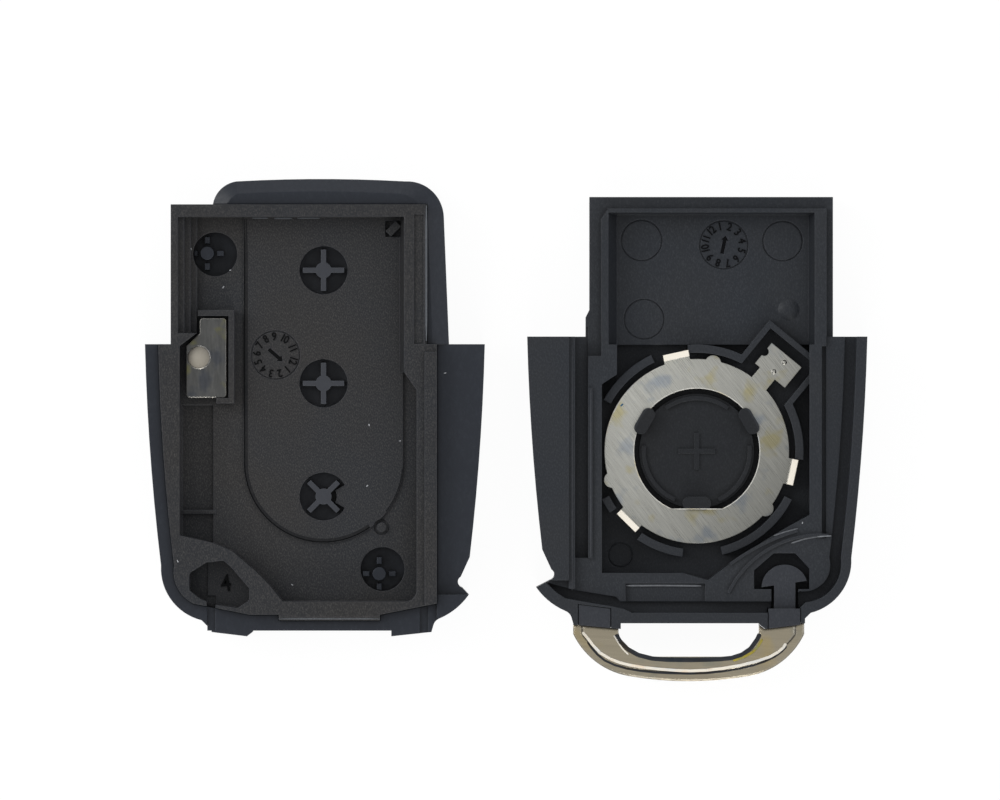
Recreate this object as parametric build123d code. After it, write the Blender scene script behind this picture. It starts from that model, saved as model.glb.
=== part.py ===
from build123d import *

import os
from math import cos, radians, sin

# Flip key remote shell, taken apart and laid open: the button half on the left, the battery half on the
# right, both with the inside up. Millimetres, +Z up, resting on the two outer faces. The origin is the middle
# of the outline of both halves together, on the surface that they rest on.
# Each half is drawn about its own centre, the middle of the coin cell seat. Seen from inside, the button half
# is the mirror image of the battery half, so a size that both share is written once and used with the sign of
# the half. A name ending in _u is a place to the right of that centre in the battery half, _x the same in the
# button half, and _v a place towards the neck in either. An inset is measured inwards from the line that it
# belongs to, a rise towards the neck or up, and a drop the other way.

# Layout of the two halves
half_gap = 4.5
button_half_shift = -0.8

# How far a cutter runs past the face that it opens, and how deep an added form is rooted in what carries it
overrun = 1.0
root = 0.1

# Outline that both halves share
shoulder_v = 12.15
shoulder_half = 18.0
waist_inset = 0.6
hip_inset = 1.7
hip_v = -11.3
foot_inset = 6.0
foot_v = -17.1
corner_bulge = 1.3
corner_relief = 0.6
bottom_drop = 1.1
neck_top_v = 26.95
outer_edge_round = 0.6

# Neck of the battery half
neck_narrow_side = 11.4
neck_wide_side = 14.4
neck_foot_spread = 0.4
neck_foot_rise = 2.05
neck_foot_slant = 0.8

# Nose at the lower corner under the narrow side of the neck, and the corners of the notch above it: insets
# from the shoulders, rises from the foot
battery_nose_inset = 0.95
cover_nose_inset = 1.7
nose_tip_rise = 2.7
nose_length = 3.1
nose_heel_rise = 0.2
nose_belly_run = 1.35
nose_belly_rise = 1.25
nose_hollow = 0.65
notch_corners = ((1.5, 6.9), (2.55, 4.6), (2.85, 3.95), (2.4, 3.45))

# Bosses at the bottom edge, placed by the feet over the legs of the key ring loop
boss_drop = 0.6
boss_slant = 0.45
boss_end_slant = 0.2
boss_past_foot = 1.05
boss_before_foot = 0.9
boss_tip_before_foot = 0.3

# Heights above the table
battery_parting = 6.2
tray_parting = 7.0
lap_height = 1.0
lap_gap = 0.1
wing_step = 1.4
channel_depth = 1.4
rim_width = 1.1
channel_width = 1.2

# Floor and walls of the battery half
battery_skin = 1.5
neck_floor = 3.4
neck_rib_inset = 1.25
neck_rib_width = 0.75
neck_band_drop = 1.0
neck_band_below_shoulder = 2.05
neck_corner_nick = 1.1
neck_wide_rib_inset = 0.7
neck_wide_rib_width = 1.25
neck_top_rib = 0.4
neck_floor_slope = 0.9
neck_wide_slope = 0.6
neck_top_slope = 0.2
well_margin = 0.6
well_low_margin = 1.6
cell_side_gap = 0.1
well_jog_v = 7.1
well_jog_height = 1.05
well_kink_u = -1.55
curved_wall_v = -6.75
curved_wall_middle = (6.7, -9.75)
curved_wall_end = (1.15, -13.65)

# Groove at the nose corner, as distances from the foot of the outline: its upper edge, then its lower edge
groove_upper_edge = ((-3.9, 3.2), (-0.9, 2.4), (3.4, 1.7), (3.85, 1.2), (5.1, 1.2))
groove_lower_edge = ((5.1, 0.0), (4.25, 0.4), (2.9, 0.7), (-0.7, 1.3), (-2.0, 1.55), (-2.95, 2.2))

# Lands, grooves, ribs and wing beside the well
low_land_left_u = -7.6
low_land_right_u = 0.85
low_land_rise = 2.85
low_land_drop = 0.5
low_land_slope = 0.35
wide_land_drop = 0.5
wide_land_low_v = -8.95
wide_wall_width = 1.3
wide_groove_width = 0.45
wide_groove_depth = 1.0
wide_groove_low_v = -9.2
narrow_channel_width = 1.4
narrow_rib_width = 0.45
narrow_rib_height = 0.3
narrow_rib_top_v = 6.7
wing_width = 5.05
wing_ridge_width = 0.65
wing_ridge_drop = 0.45
wing_ridge_past_tip = 0.15
fine_rib_width = 0.3
fine_rib_height = 0.25
fine_rib_paths = (((3.5, -11.95), (6.7, -9.95), (10.6, -8.4)),
                  ((3.3, -15.0), (6.65, -10.95), (13.9, -8.9)))

# Coin cell and its round walls: the middle and the span of each wall in degrees
cell_diameter = 20.0
seat_clearance = 0.45
seat_wall = 0.85
seat_top = 4.8
seat_spans = ((133.3, 35.5), (211.0, 8.3), (249.0, 26.0), (-51.6, 49.0), (12.0, 33.0), (70.0, 50.0))

# Contact under the cell
contact_sheet = 0.3
contact_height = 2.9
contact_margin = 0.2
contact_width = 3.15
contact_flat_inset = 0.55
contact_flat_overlap = 0.2
tab_grip = 0.05
tab_height = 2.2
tab_lip = 0.65
tab_width = 2.75
tab_foot = 1.2
tab_angles = (102.3, 225.3, -12.3)
bump_angles = (79.5, 198.7, -39.7)
bump_radius = 0.85
bump_sink = 0.3

# Hub inside the contact, and the ledge under it
hub_gap = 0.55
hub_height = 2.5
hub_rib_inset = 0.25
hub_rib_width = 0.42
hub_rib_height = 0.4
hub_rib_angles = (90, 210, 330)
hub_rib_span = 72
tongue_places = ((30, 0.45), (150, 0.45), (270, -0.4))
tongue_length = 3.0
tongue_width = 1.4
tongue_thick = 0.7
sign_bar = 0.5
sign_reach = 3.9
sign_height = 0.2
ledge_inset = 0.35
ledge_margin = 0.5

# Contact arm and its pocket, drawn about the arm's upper corner and turned with it
arm_corner_u = 7.95
arm_corner_v = 11.5
arm_turn = -39.3
arm_length = 4.1
arm_width = 2.8
arm_notch = 0.9
arm_notch_down = 1.2
arm_link_along = 1.7
arm_link_width = 2.05
arm_link_length = 3.1
arm_pocket_gap = 1.1
arm_pocket_wall = 0.6
arm_pocket_left_length = 3.6
arm_pocket_right_length = 4.3
arm_pocket_length = 5.0
arm_dimples = ((2.35, -0.75), (2.1, -2.2))
arm_dimple_radius = 0.28
arm_dimple_top_radius = 0.11
arm_dimple_height = 0.14

# Buttons: cap, flange and cross plunger in one
button_names = ("lock_button", "trunk_button", "unlock_button")
button_pitch = 12.0
button_column_x = 0.9
button_top_drop = 6.95
button_travel = 0.6
cap_width = 13.2
cap_length = 9.0
cap_corner = 3.2
cap_recess = 0.15
cap_gap = 0.2
cap_round = 0.3
flange_rim = 0.6
flange_thick = 0.8
flange_gap = 0.05
flange_clearance = 0.25
plunger_hole_radius = 2.55
plunger_gap = 0.35
plunger_hub_radius = 0.85
plunger_leg = 0.55
plunger_rise = 0.35
key_tab_radius = 1.4
key_tab_span = 56
key_turn = 45

# Tray inside the button half, its neck lapping the battery half's neck
neck_wide_lap = 0.85
neck_narrow_lap = 0.5
tray_inset = 1.4
tray_low_rise = 0.6
tray_corner_rise = 1.2
tray_strip_left_x = -3.8
tray_strip_right_x = 6.9
tray_fit = 0.05
recess_headroom = 0.2
tray_floor = 1.0
tray_floor_drop = 0.3
tray_wall_top = 1.3
tray_wall_right = 2.45
tray_wall_step = 1.05
tray_wall_edge = 0.35
tray_wall_step_drop = 0.25
tray_neck_bevel = 0.25
tray_strip_bevel = 0.35
tray_wall_left = 0.75
tray_floor_slope = 0.45
tray_slope_drop = 0.4
stair_count = 3
stair_width = 0.66
stair_drop = 0.8
stair_end_rise = 1.15
jog_top_drop = 2.95
jog_low_drop = 4.85
low_wall_right_inset = 2.15
low_wall_left_inset = 3.7
low_wall_left_top_drop = 0.2
low_wall_bottom_rise = 1.4
low_wall_round = 1.2
tray_rim_width = 1.3
tray_rim_rise = 0.4
tray_rim_low_rise = 0.6
tray_rim_top_drop = 0.85
plateau_margin = 1.0
plateau_arc_rise = 3.55
gutter_right_x = -10.8
gutter_top_v = 5.7
gutter_low_v = -12.0
gutter_margin = 0.2
gutter_drop = 0.6
gutter_rib_v = -5.65
gutter_rib_width = 0.4
gutter_rib_reach = 0.3
gutter_rib_rise = 0.15

# Edge of the tray's low floor at the left: places along, and rises from the bottom wall
land_top_rise = 7.0
land_edge = ((-10.8, 6.2), (-8.7, 5.3), (-6.35, 3.3), (-4.75, 1.7))
land_end_x = -3.4

# Holes of the tray and the posts of the cover that stand in them
upper_post_inset = 4.65
upper_post_drop = 5.25
lower_post_inset = 3.65
lower_post_drop = 7.7
post_offsets = ((-0.85, 0.1), (-0.35, -0.5))
post_hole_radius = 2.33
post_hole_margin = 0.1
post_radius = 0.7
post_rise = 0.3
post_rib = 0.5
post_rib_gap = 0.35
post_rib_reach = 1.75
post_rib_drop = 0.5

# Pegs on the tray's floor, the round one beside the last button and the slanted one in the corner of the neck
peg_run = 6.15
peg_drop = 3.25
peg_radius = 0.5
peg_gap = 0.35
peg_pocket_depth = 0.5
peg_rise = 0.15
slanted_peg_inset = 3.6
slanted_peg_drop = 2.55
slanted_peg_length = 1.5
slanted_peg_width = 0.8
slanted_peg_rise = 0.6
slanted_peg_turn = 45
slanted_pocket = 1.7

# Pocket in the tray for the mushroom head, about the head's place, and the slot to it from the bottom edge
stud_pocket_edge = ((-4.0, 2.35), (-2.2, 3.5), (-0.4, 3.7), (0.45, 2.95), (2.35, 0.75),
                    (2.35, -0.55), (1.1, -1.35), (-1.55, -0.95), (-2.95, -0.3), (-4.0, 0.55))
stud_pocket_corner = 0.5
stud_slot_past_stem = 1.05
stud_slot_width = 0.95
stud_slot_under_head = 0.05
stud_slot_drop = 0.3

# Latch plate, placed by the tray's wall and the shoulder, and the rib that frames it
latch_wall_gap = 0.7
latch_width = 4.2
latch_length = 8.4
latch_top_rise = 2.75
latch_step_width = 1.4
latch_step_top_drop = 1.6
latch_step_low_drop = 2.95
latch_thick = 0.5
latch_seat_drop = 2.0
latch_corner = 0.35
latch_dome_inset = 1.3
latch_dome_drop = 4.15
latch_dome_radius = 1.2
latch_dome_height = 0.7
latch_gap = 0.05
latch_frame_gap = 0.25
latch_frame_wall = 0.6
latch_frame_rise = 0.2
latch_frame_foot = 1.9
latch_frame_overlap = 0.2

# Cover outside the tray, placed by the tray's neck
cover_skin = 1.3
cover_stand_out = 2.45
cover_crown = 0.25
cover_left_inset = 4.4
cover_left_drop = 3.0
cover_left_run = 2.55
cover_left_radius = 2.95
cover_right_stand_out = 2.3
cover_right_taper = 0.55
cover_right_drop = 3.7
cover_right_run = 4.6
cover_right_radius = 3.85
cover_under_neck_inset = 0.6
rail_top = 6.3
rail_edge = 5.6
rail_slope_right = 1.7
rail_slope_top = 1.3
rail_corner_share = 0.3
rail_foot_gap = 0.2
nose_rise = 0.6
cover_slot_inset = 0.9
cover_slot_width = 0.9
cover_slot_rise = 2.0
cover_slot_depth = 0.35

# Key ring loop: its half width past the foot of the outline, its drop below the bottom edge
loop_centre_u = -0.87
loop_spread = 0.25
loop_drop = 6.2
loop_side_drop = 1.2
loop_thick = 3.0
loop_base = 1.7
loop_knee_share = 0.52
loop_knee_rise = 0.55
loop_band = 4.8
loop_low_band = 2.6
loop_inner_side_rise = 0.2
loop_inner_knee_share = 0.62
loop_inner_swing_share = 0.88
loop_inner_swing_drop = 0.35
loop_edge_round = 0.5
loop_plateau_inset = 1.0
loop_plateau_height = 0.6
leg_rise = 0.3
leg_clearance = 0.05
leg_overlap = 0.3
leg_left_inset = 0.52
leg_right_inset = 0.43

# Feet over the legs, and the mushroom stud of the right foot in its pocket
foot_width = 3.45
foot_top_rise = 0.45
foot_left_slant = 0.45
foot_rise = 0.9
foot_seam = 0.04
stem_inset = 0.65
stem_width = 2.25
stem_gap = 0.3
head_radius = 2.45
head_rise = 2.65
head_cut = 0.4
head_tilt = 8
head_pocket_shift = 0.325
head_pocket_gap = 0.48
head_pocket_over = 1.2
head_pocket_left_cut = (2.1, 1.8)
head_pocket_right_cut = (1.5, 1.6)
head_pocket_drop = 0.15
head_pocket_depth = 2.6

# Moulding marks: the place along, the drop from the top of the neck, and the radius of each mark in the neck
mark_groove = 0.16
mark_depth = 0.12
neck_marks = ((-5.87, 4.58, 2.15), (9.1, 4.65, 2.1), (-5.6, 12.95, 2.1))
dial_radius = 2.55
dial_arrow_tail = -0.95
dial_shaft_width = 0.38
dial_head_half = 0.4
dial_head_low = 0.5
dial_head_tip = 1.0
battery_dial_u = 2.86
battery_dial_drop = 5.05
battery_dial_turn = -12
tray_dial_x = -4.2
tray_dial_rise = 3.0
tray_dial_turn = -131
well_mark = (-8.1, -11.05, 1.27)
bump_mark = (9.75, 15.0, 1.15)
bump_mark_rise = 0.3

# Places worked out from the values above, first the shared outline
waist_half = shoulder_half - waist_inset
hip_half = shoulder_half - hip_inset
foot_half = shoulder_half - foot_inset
bottom_v = foot_v - bottom_drop
half_spacing = 2 * shoulder_half + half_gap
nose_tip_v = foot_v + nose_tip_rise
nose_heel_v = foot_v + nose_heel_rise
nose_belly_v = foot_v + nose_belly_rise
battery_nose_reach = shoulder_half - battery_nose_inset
cover_nose_reach = shoulder_half - cover_nose_inset
notch_start, notch_knee, notch_deep, notch_low = [(inset - shoulder_half, foot_v + rise)
                                                  for inset, rise in notch_corners]

# Key ring loop and feet
loop_half = foot_half + loop_spread
loop_low_v = bottom_v - loop_drop
loop_side_v = bottom_v - loop_side_drop
loop_inner_half = loop_half - loop_band
loop_inner_low_v = loop_low_v + loop_low_band
loop_inner_side_v = loop_side_v + loop_inner_side_rise
leg_top_v = foot_v + leg_rise
foot_left_u = loop_centre_u - loop_half + leg_left_inset
foot_right_u = loop_centre_u + loop_half - leg_right_inset - foot_width
foot_top_v = foot_v + foot_top_rise
stem_left_u = foot_right_u + stem_inset
stem_right_u = stem_left_u + stem_width
head_u = (stem_left_u + stem_right_u) / 2
head_v = foot_v + head_rise
head_pocket_u = head_u - head_pocket_shift
head_pocket_low_v = head_v - head_pocket_drop
head_pocket_half = head_radius + head_pocket_gap
boss_low_v = bottom_v - boss_drop
boss_high_v = boss_low_v + boss_slant
boss_narrow_end_u = foot_left_u + foot_width + boss_past_foot
boss_wide_start_u = foot_right_u - boss_before_foot
boss_wide_tip_u = foot_right_u - boss_tip_before_foot
boss_wide_end_u = foot_right_u + foot_width

# Coin cell seat and contact
seat_inner_radius = cell_diameter / 2 + seat_clearance
seat_outer_radius = seat_inner_radius + seat_wall
contact_outer_radius = cell_diameter / 2 - contact_margin
contact_inner_radius = contact_outer_radius - contact_width
hub_radius = contact_inner_radius - hub_gap
tab_inner_radius = cell_diameter / 2 + tab_grip
well_wide_u = seat_outer_radius + well_margin
well_narrow_u = cell_diameter / 2 + cell_side_gap
well_end_v = -seat_outer_radius - well_low_margin

# Battery half round the well
neck_foot_side = neck_narrow_side + neck_foot_spread
neck_foot_v = shoulder_v + neck_foot_rise
neck_band_low_v = shoulder_v - neck_band_below_shoulder
neck_floor_end_v = tab_inner_radius + tab_lip + well_margin
low_land_top_v = foot_v + low_land_rise

# Tray, buttons and latch plate
button_top_v = neck_top_v - button_top_drop
button_last_v = button_top_v - (len(button_names) - 1) * button_pitch
plunger_tip_radius = plunger_hole_radius - plunger_gap
tray_neck_left_x = -neck_wide_side - neck_wide_lap
tray_neck_right_x = neck_narrow_side + neck_narrow_lap
tray_right_x = shoulder_half - wing_width
tray_low_v = foot_v + tray_low_rise
low_wall_right_x = tray_right_x - low_wall_right_inset
low_wall_left_x = low_wall_left_inset - shoulder_half
low_wall_left_top_v = shoulder_v - low_wall_left_top_drop
low_wall_bottom_v = tray_low_v + low_wall_bottom_rise
stair_end_v = shoulder_v + stair_end_rise
jog_top_v = shoulder_v - jog_top_drop
jog_low_v = shoulder_v - jog_low_drop
plateau_half = cap_width / 2 + flange_rim + flange_clearance + plateau_margin
plateau_arc_v = button_last_v + plateau_arc_rise
post_holes = ((tray_neck_left_x + upper_post_inset, neck_top_v - upper_post_drop),
              (low_wall_right_x - lower_post_inset, button_last_v - lower_post_drop))
peg_pocket_radius = peg_radius + peg_gap
stud_slot_left_x = -stem_right_u - stud_slot_past_stem
latch_left_x = low_wall_left_x + latch_wall_gap
latch_right_x = latch_left_x + latch_width
latch_step_x = latch_left_x + latch_step_width
latch_top_v = shoulder_v + latch_top_rise
latch_low_v = latch_top_v - latch_length

# Cover and wings
narrow_channel_left_u = -tray_right_x
cover_top_v = neck_top_v + cover_stand_out
cover_left_x = tray_neck_left_x + cover_left_inset
cover_left_low_v = cover_top_v - cover_left_drop
cover_top_left_x = cover_left_x + cover_left_run
cover_right_low_x = tray_neck_right_x + cover_right_stand_out
cover_right_top_x = cover_right_low_x - cover_right_taper
cover_right_top_v = cover_top_v - cover_right_drop
cover_top_right_x = cover_right_low_x - cover_right_run
cover_under_neck_x = tray_neck_left_x + cover_under_neck_inset
cover_slot_left_x = foot_half - cover_slot_inset

# Heights
recess_top = cover_skin + flange_gap + flange_thick + button_travel + recess_headroom
plateau_top = recess_top + tray_floor
floor_top = plateau_top - tray_floor_drop
gutter_floor = floor_top - gutter_drop
latch_seat = tray_parting - latch_seat_drop
channel_floor = battery_parting - channel_depth
rim_top = battery_parting + lap_height
wing_top = battery_parting + wing_step - lap_gap
wing_top_cover = tray_parting - wing_step
lap_floor = tray_parting - lap_height - lap_gap
leg_top = loop_base + loop_thick - loop_plateau_height
foot_top = battery_parting + foot_rise
head_base = battery_parting - head_pocket_depth
battery_clear = rim_top + overrun
tray_clear = tray_parting + overrun


def polygon(points):
    """Return the flat face inside a list of corner points."""
    return make_face(Polyline(*points, close=True))


def block_face(left, right, low_v, high_v):
    """Return a flat rectangle from its limits."""
    return Pos((left + right) / 2, (low_v + high_v) / 2) * Rectangle(right - left, high_v - low_v)


def prism(face, low, high):
    """Return a flat face carried from one height to another."""
    return Pos(0, 0, low) * extrude(face, high - low, dir=(0, 0, 1))


def block(left, right, low_v, high_v, low, high):
    """Return a square-edged block from its limits along each axis."""
    return prism(block_face(left, right, low_v, high_v), low, high)


def disc(u, v, radius, low, high):
    """Return an upright round post or plug."""
    return prism(Pos(u, v) * Circle(radius), low, high)


def wedge(middle, span, reach):
    """Return the flat wedge that covers a span of angle about the origin out to a reach."""
    angles = [radians(middle + side * span / 2) for side in (-1, 0, 1)]
    far = 2 * reach / cos(radians(span / 2))
    return polygon([(0, 0)] + [(far * cos(angle), far * sin(angle)) for angle in angles])


def ring_piece(inner, outer, middle, span):
    """Return the flat piece of a ring over a span of angle about the origin."""
    return (Circle(outer) - Circle(inner)) & wedge(middle, span, outer)


def low_dome(u, v, radius, rise, base):
    """Return a shallow dome of a radius and rise that stands on a face at the height base."""
    ball_radius = (radius ** 2 + rise ** 2) / (2 * rise)
    ball = Pos(u, v, base + rise - ball_radius) * Sphere(ball_radius)
    return ball & disc(u, v, radius, base - root / 2, base + rise + overrun)


def groove_ring(u, v, radius, top):
    """Return the cutter of a fine round groove in a face at the height top."""
    ring = Pos(u, v) * (Circle(radius + mark_groove / 2) - Circle(radius - mark_groove / 2))
    return prism(ring, top - mark_depth, top + mark_depth)


def dial_groove(u, v, turn, top):
    """Return the cutter of a date dial: its ring and its arrow."""
    half = dial_shaft_width / 2
    shape = polygon([(-half, dial_arrow_tail), (half, dial_arrow_tail), (half, dial_head_low),
                     (dial_head_half, dial_head_low), (0, dial_head_tip), (-dial_head_half, dial_head_low),
                     (-half, dial_head_low)])
    arrow = Pos(u, v) * Rot(0, 0, turn) * prism(shape, top - mark_depth, top + mark_depth)
    return groove_ring(u, v, dial_radius, top) + arrow


def body_edge(inset):
    """Return one side of the body from shoulder to foot, and its two ends, at an inset from the outline."""
    top = (shoulder_half - inset, shoulder_v + inset)
    hip = (hip_half - inset, hip_v)
    foot = (foot_half - inset / 2, foot_v + inset)
    run = Vector(foot[0] - hip[0], foot[1] - hip[1])
    out = Vector(-run.Y, run.X).normalized() * corner_bulge
    middle = ((hip[0] + foot[0]) / 2 + out.X, (hip[1] + foot[1]) / 2 + out.Y)
    side = ThreePointArc(top, (waist_half - inset, 0), hip)
    corner = ThreePointArc(hip, middle, foot)
    return side, corner, foot, top


def body_face(inset=0.0):
    """Return the outline of the body below the shoulders, reduced by an inset."""
    side, corner, foot, top = body_edge(inset)
    low = bottom_v + inset
    relief = (foot[0] - corner_relief, foot[1] - corner_relief)
    half = [side, corner, Polyline(foot, relief, (relief[0], low), (0, low))]
    mirrored = [mirror(curve, about=Plane.YZ) for curve in half]
    return make_face(Curve() + half + mirrored + [Line(top, (-top[0], top[1]))])


def nose_face(reach):
    """Return the nose at the lower corner and the boss beside it, the tip at a given reach."""
    tip = (-reach, nose_tip_v)
    heel = (-reach + nose_length, nose_heel_v)
    hollow_end = (heel[0] + nose_hollow, (bottom_v + foot_v) / 2)
    belly = ThreePointArc(tip, (-reach + nose_belly_run, nose_belly_v), heel)
    hollow = TangentArc(heel, hollow_end, tangent=belly % 1)
    inner = (notch_deep[0] + overrun, notch_low[1] + overrun)
    boss_end = (hollow_end[0] + boss_end_slant, boss_high_v)
    rest = Polyline(hollow_end, boss_end, (boss_narrow_end_u, boss_low_v),
                    (boss_narrow_end_u, foot_v + overrun), inner, notch_low, tip)
    return make_face(Curve() + [belly, hollow, rest])


def notch_face(reach):
    """Return the notch above the nose."""
    outside = -shoulder_half - overrun
    bend = ThreePointArc(notch_knee, notch_deep, notch_low)
    rest = Polyline(notch_low, (-reach, nose_tip_v), (outside, nose_tip_v), (outside, notch_start[1]),
                    notch_start, notch_knee)
    return make_face(Curve() + [bend, rest])


def wide_boss_face():
    """Return the boss at the bottom edge on the wide side."""
    return polygon([(boss_wide_start_u, foot_v), (boss_wide_start_u, boss_high_v),
                    (boss_wide_tip_u, boss_low_v), (boss_wide_end_u, boss_high_v), (boss_wide_end_u, foot_v)])


def body_outline(reach):
    """Return the outline of the body with its bosses, notch and nose, the nose to the left."""
    return (body_face() + nose_face(reach) + wide_boss_face()) - notch_face(reach)


def battery_outline():
    """Return the full outline of the battery half."""
    neck = polygon([(-neck_narrow_side, neck_top_v), (neck_wide_side, neck_top_v), (neck_wide_side, 0),
                    (-neck_foot_side, 0), (-neck_foot_side, neck_foot_v),
                    (-neck_narrow_side, neck_foot_v + neck_foot_slant)])
    return body_outline(battery_nose_reach) + neck


def outer_round(solid):
    """Round the edge of the face that the half rests on."""
    base = solid.faces().sort_by(Axis.Z)[0]
    return fillet(base.edges(), outer_edge_round)


def rim_ring(inner, outer):
    """Return the flat band between two insets along the wide side and the bottom, up to the corner groove."""
    corner_end = -foot_half + groove_upper_edge[-1][0] - root
    return (body_face(inner) - body_face(outer)) - block_face(-shoulder_half, corner_end, bottom_v - overrun,
                                                              shoulder_v + overrun)


def corner_points(offsets):
    """Return points of the nose corner from their distances to the foot of the outline."""
    return [(-foot_half + along, foot_v + up) for along, up in offsets]


def corner_rim_face():
    """Return the outline of the rim below the groove at the nose corner."""
    edge = corner_points(groove_lower_edge)
    left = -shoulder_half - overrun
    low = bottom_v - overrun
    below = polygon([*edge, (-hip_half, notch_low[1]), (left, notch_low[1]), (left, low), (edge[0][0], low)])
    return below & body_outline(battery_nose_reach)


def well_face():
    """Return the outline of the battery well and of the deep floor beside it."""
    start = (well_wide_u, curved_wall_v)
    curve = ThreePointArc(start, curved_wall_middle, curved_wall_end)
    neck_side = -neck_narrow_side + neck_rib_inset + neck_rib_width + neck_floor_slope
    rest = Polyline(curved_wall_end, (well_kink_u, well_end_v), (-well_narrow_u, well_end_v),
                    (-well_narrow_u, well_jog_v), (neck_side, well_jog_v + well_jog_height),
                    (neck_side, neck_floor_end_v), (well_wide_u, neck_floor_end_v), start)
    return make_face(Curve() + [curve, rest])


def neck_cavity():
    """Return the space above the neck floor, with its sloping sides."""
    narrow = -neck_narrow_side + neck_rib_inset + neck_rib_width
    wide = neck_wide_side - neck_wide_rib_inset - neck_wide_rib_width
    top_v = neck_top_v - neck_rib_inset - neck_top_rib
    floor = block_face(narrow + neck_floor_slope, wide - neck_wide_slope, neck_floor_end_v,
                       top_v - neck_top_slope)
    mouth = block_face(narrow, wide, neck_floor_end_v, top_v)
    return (loft([Pos(0, 0, neck_floor) * floor, Pos(0, 0, battery_parting) * mouth])
            + prism(mouth, battery_parting, battery_clear))


def neck_band():
    """Return the lowered outer band round the battery half's neck."""
    level = battery_parting - neck_band_drop
    narrow = -neck_narrow_side + neck_rib_inset
    wide = neck_wide_side - neck_wide_rib_inset
    top_v = neck_top_v - neck_rib_inset
    left = block_face(-neck_foot_side - overrun, narrow, neck_band_low_v, neck_top_v + overrun)
    top = block_face(-neck_narrow_side, neck_wide_side, top_v, neck_top_v + overrun)
    right = block_face(wide, neck_wide_side + overrun, shoulder_v, neck_top_v + overrun)
    nick = polygon([(narrow, top_v), (narrow + neck_rib_width, top_v), (narrow, top_v - neck_corner_nick)])
    return prism(left + top + right + nick, level, battery_clear)


def head_pocket():
    """Return the outline of the pocket that clears the mushroom head, its upper corners cut off."""
    left = head_pocket_u - head_pocket_half
    right = head_pocket_u + head_pocket_half
    top = head_v + head_radius + head_pocket_over
    return polygon([(left, head_pocket_low_v), (left, top - head_pocket_left_cut[1]),
                    (left + head_pocket_left_cut[0], top), (right - head_pocket_right_cut[0], top),
                    (right, top - head_pocket_right_cut[1]), (right, head_pocket_low_v)])


def leg_space(left_u, slant):
    """Return the space in the battery half for one leg of the loop and the foot over it."""
    left = left_u - leg_clearance
    right = left_u + foot_width + leg_clearance
    low = boss_low_v - overrun
    leg = block(left, right, low, leg_top_v + leg_clearance, loop_base - leg_clearance, battery_clear)
    over = foot_top_v + leg_clearance
    foot = polygon([(left, over + slant), (right, over), (right, low), (left, low)])
    return leg + prism(foot, leg_top, battery_clear)


def stud_space():
    """Return the space in the battery half for the stem and the mushroom head."""
    stem = block_face(stem_left_u - stem_gap, stem_right_u + stem_gap, leg_top_v, head_v)
    return prism(head_pocket() + stem, head_base, battery_clear)


def seat_walls():
    """Return the curved walls round the coin cell."""
    pieces = [ring_piece(seat_inner_radius, seat_outer_radius, middle, span) for middle, span in seat_spans]
    return [prism(piece, battery_skin - root, seat_top) for piece in pieces]


def arm_frame():
    """Return the placement of the contact arm: x along its upper edge, y away from the ring."""
    return Pos(arm_corner_u, arm_corner_v) * Rot(0, 0, arm_turn)


def arm_pocket_walls():
    """Return the three straight walls round the contact arm, clear of the cell seat."""
    gap = arm_pocket_gap
    far = gap + arm_pocket_wall
    top = block_face(-far, arm_length + far, gap, far)
    left = block_face(-far, -gap, -arm_pocket_left_length, far)
    right = block_face(arm_length + gap, arm_length + far, -arm_pocket_right_length, far)
    walls = arm_frame() * prism(top + left + right, battery_skin - root, seat_top)
    return walls - disc(0, 0, seat_inner_radius, battery_skin - overrun, seat_top + overrun)


def arm_pocket():
    """Return the space inside the walls round the contact arm."""
    gap = arm_pocket_gap
    return arm_frame() * block(-gap, arm_length + gap, -arm_pocket_length, gap, battery_skin,
                               seat_top + overrun)


def hub_forms():
    """Return the forms of the middle of the well: ledge, disc, arc ribs, tongues and plus sign."""
    ledge = Circle(contact_outer_radius - ledge_margin) - Circle(contact_inner_radius + ledge_inset)
    forms = [prism(ledge, battery_skin - root, contact_height)]
    forms.append(disc(0, 0, hub_radius, battery_skin - root, hub_height))
    rib_outer = hub_radius - hub_rib_inset
    for angle in hub_rib_angles:
        piece = ring_piece(rib_outer - hub_rib_width, rib_outer, angle, hub_rib_span)
        forms.append(prism(piece, hub_height - root, hub_height + hub_rib_height))
    low = contact_height + contact_sheet
    for angle, reach in tongue_places:
        middle = contact_inner_radius + reach - tongue_width / 2
        tongue = Rot(0, 0, angle) * Pos(middle, 0) * Rot(0, 0, 90) * SlotOverall(tongue_length, tongue_width)
        forms.append(prism(tongue & Circle(hub_radius - root), hub_height - root, low + tongue_thick))
        forms.append(prism(tongue, low, low + tongue_thick))
    bars = Rectangle(sign_reach, sign_bar) + Rectangle(sign_bar, sign_reach)
    forms.append(prism(bars, hub_height - root, hub_height + sign_height))
    return forms


def add_rim(solid):
    """Add the rim of the battery half and cut the channel beside it."""
    rim = rim_ring(0, rim_width) + wide_boss_face() + corner_rim_face()
    solid = solid + prism(rim, battery_parting - overrun, rim_top)
    groove = polygon(corner_points(groove_upper_edge + groove_lower_edge))
    channel = rim_ring(rim_width, rim_width + channel_width) + groove
    return solid - prism(channel, channel_floor, battery_clear)


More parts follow.
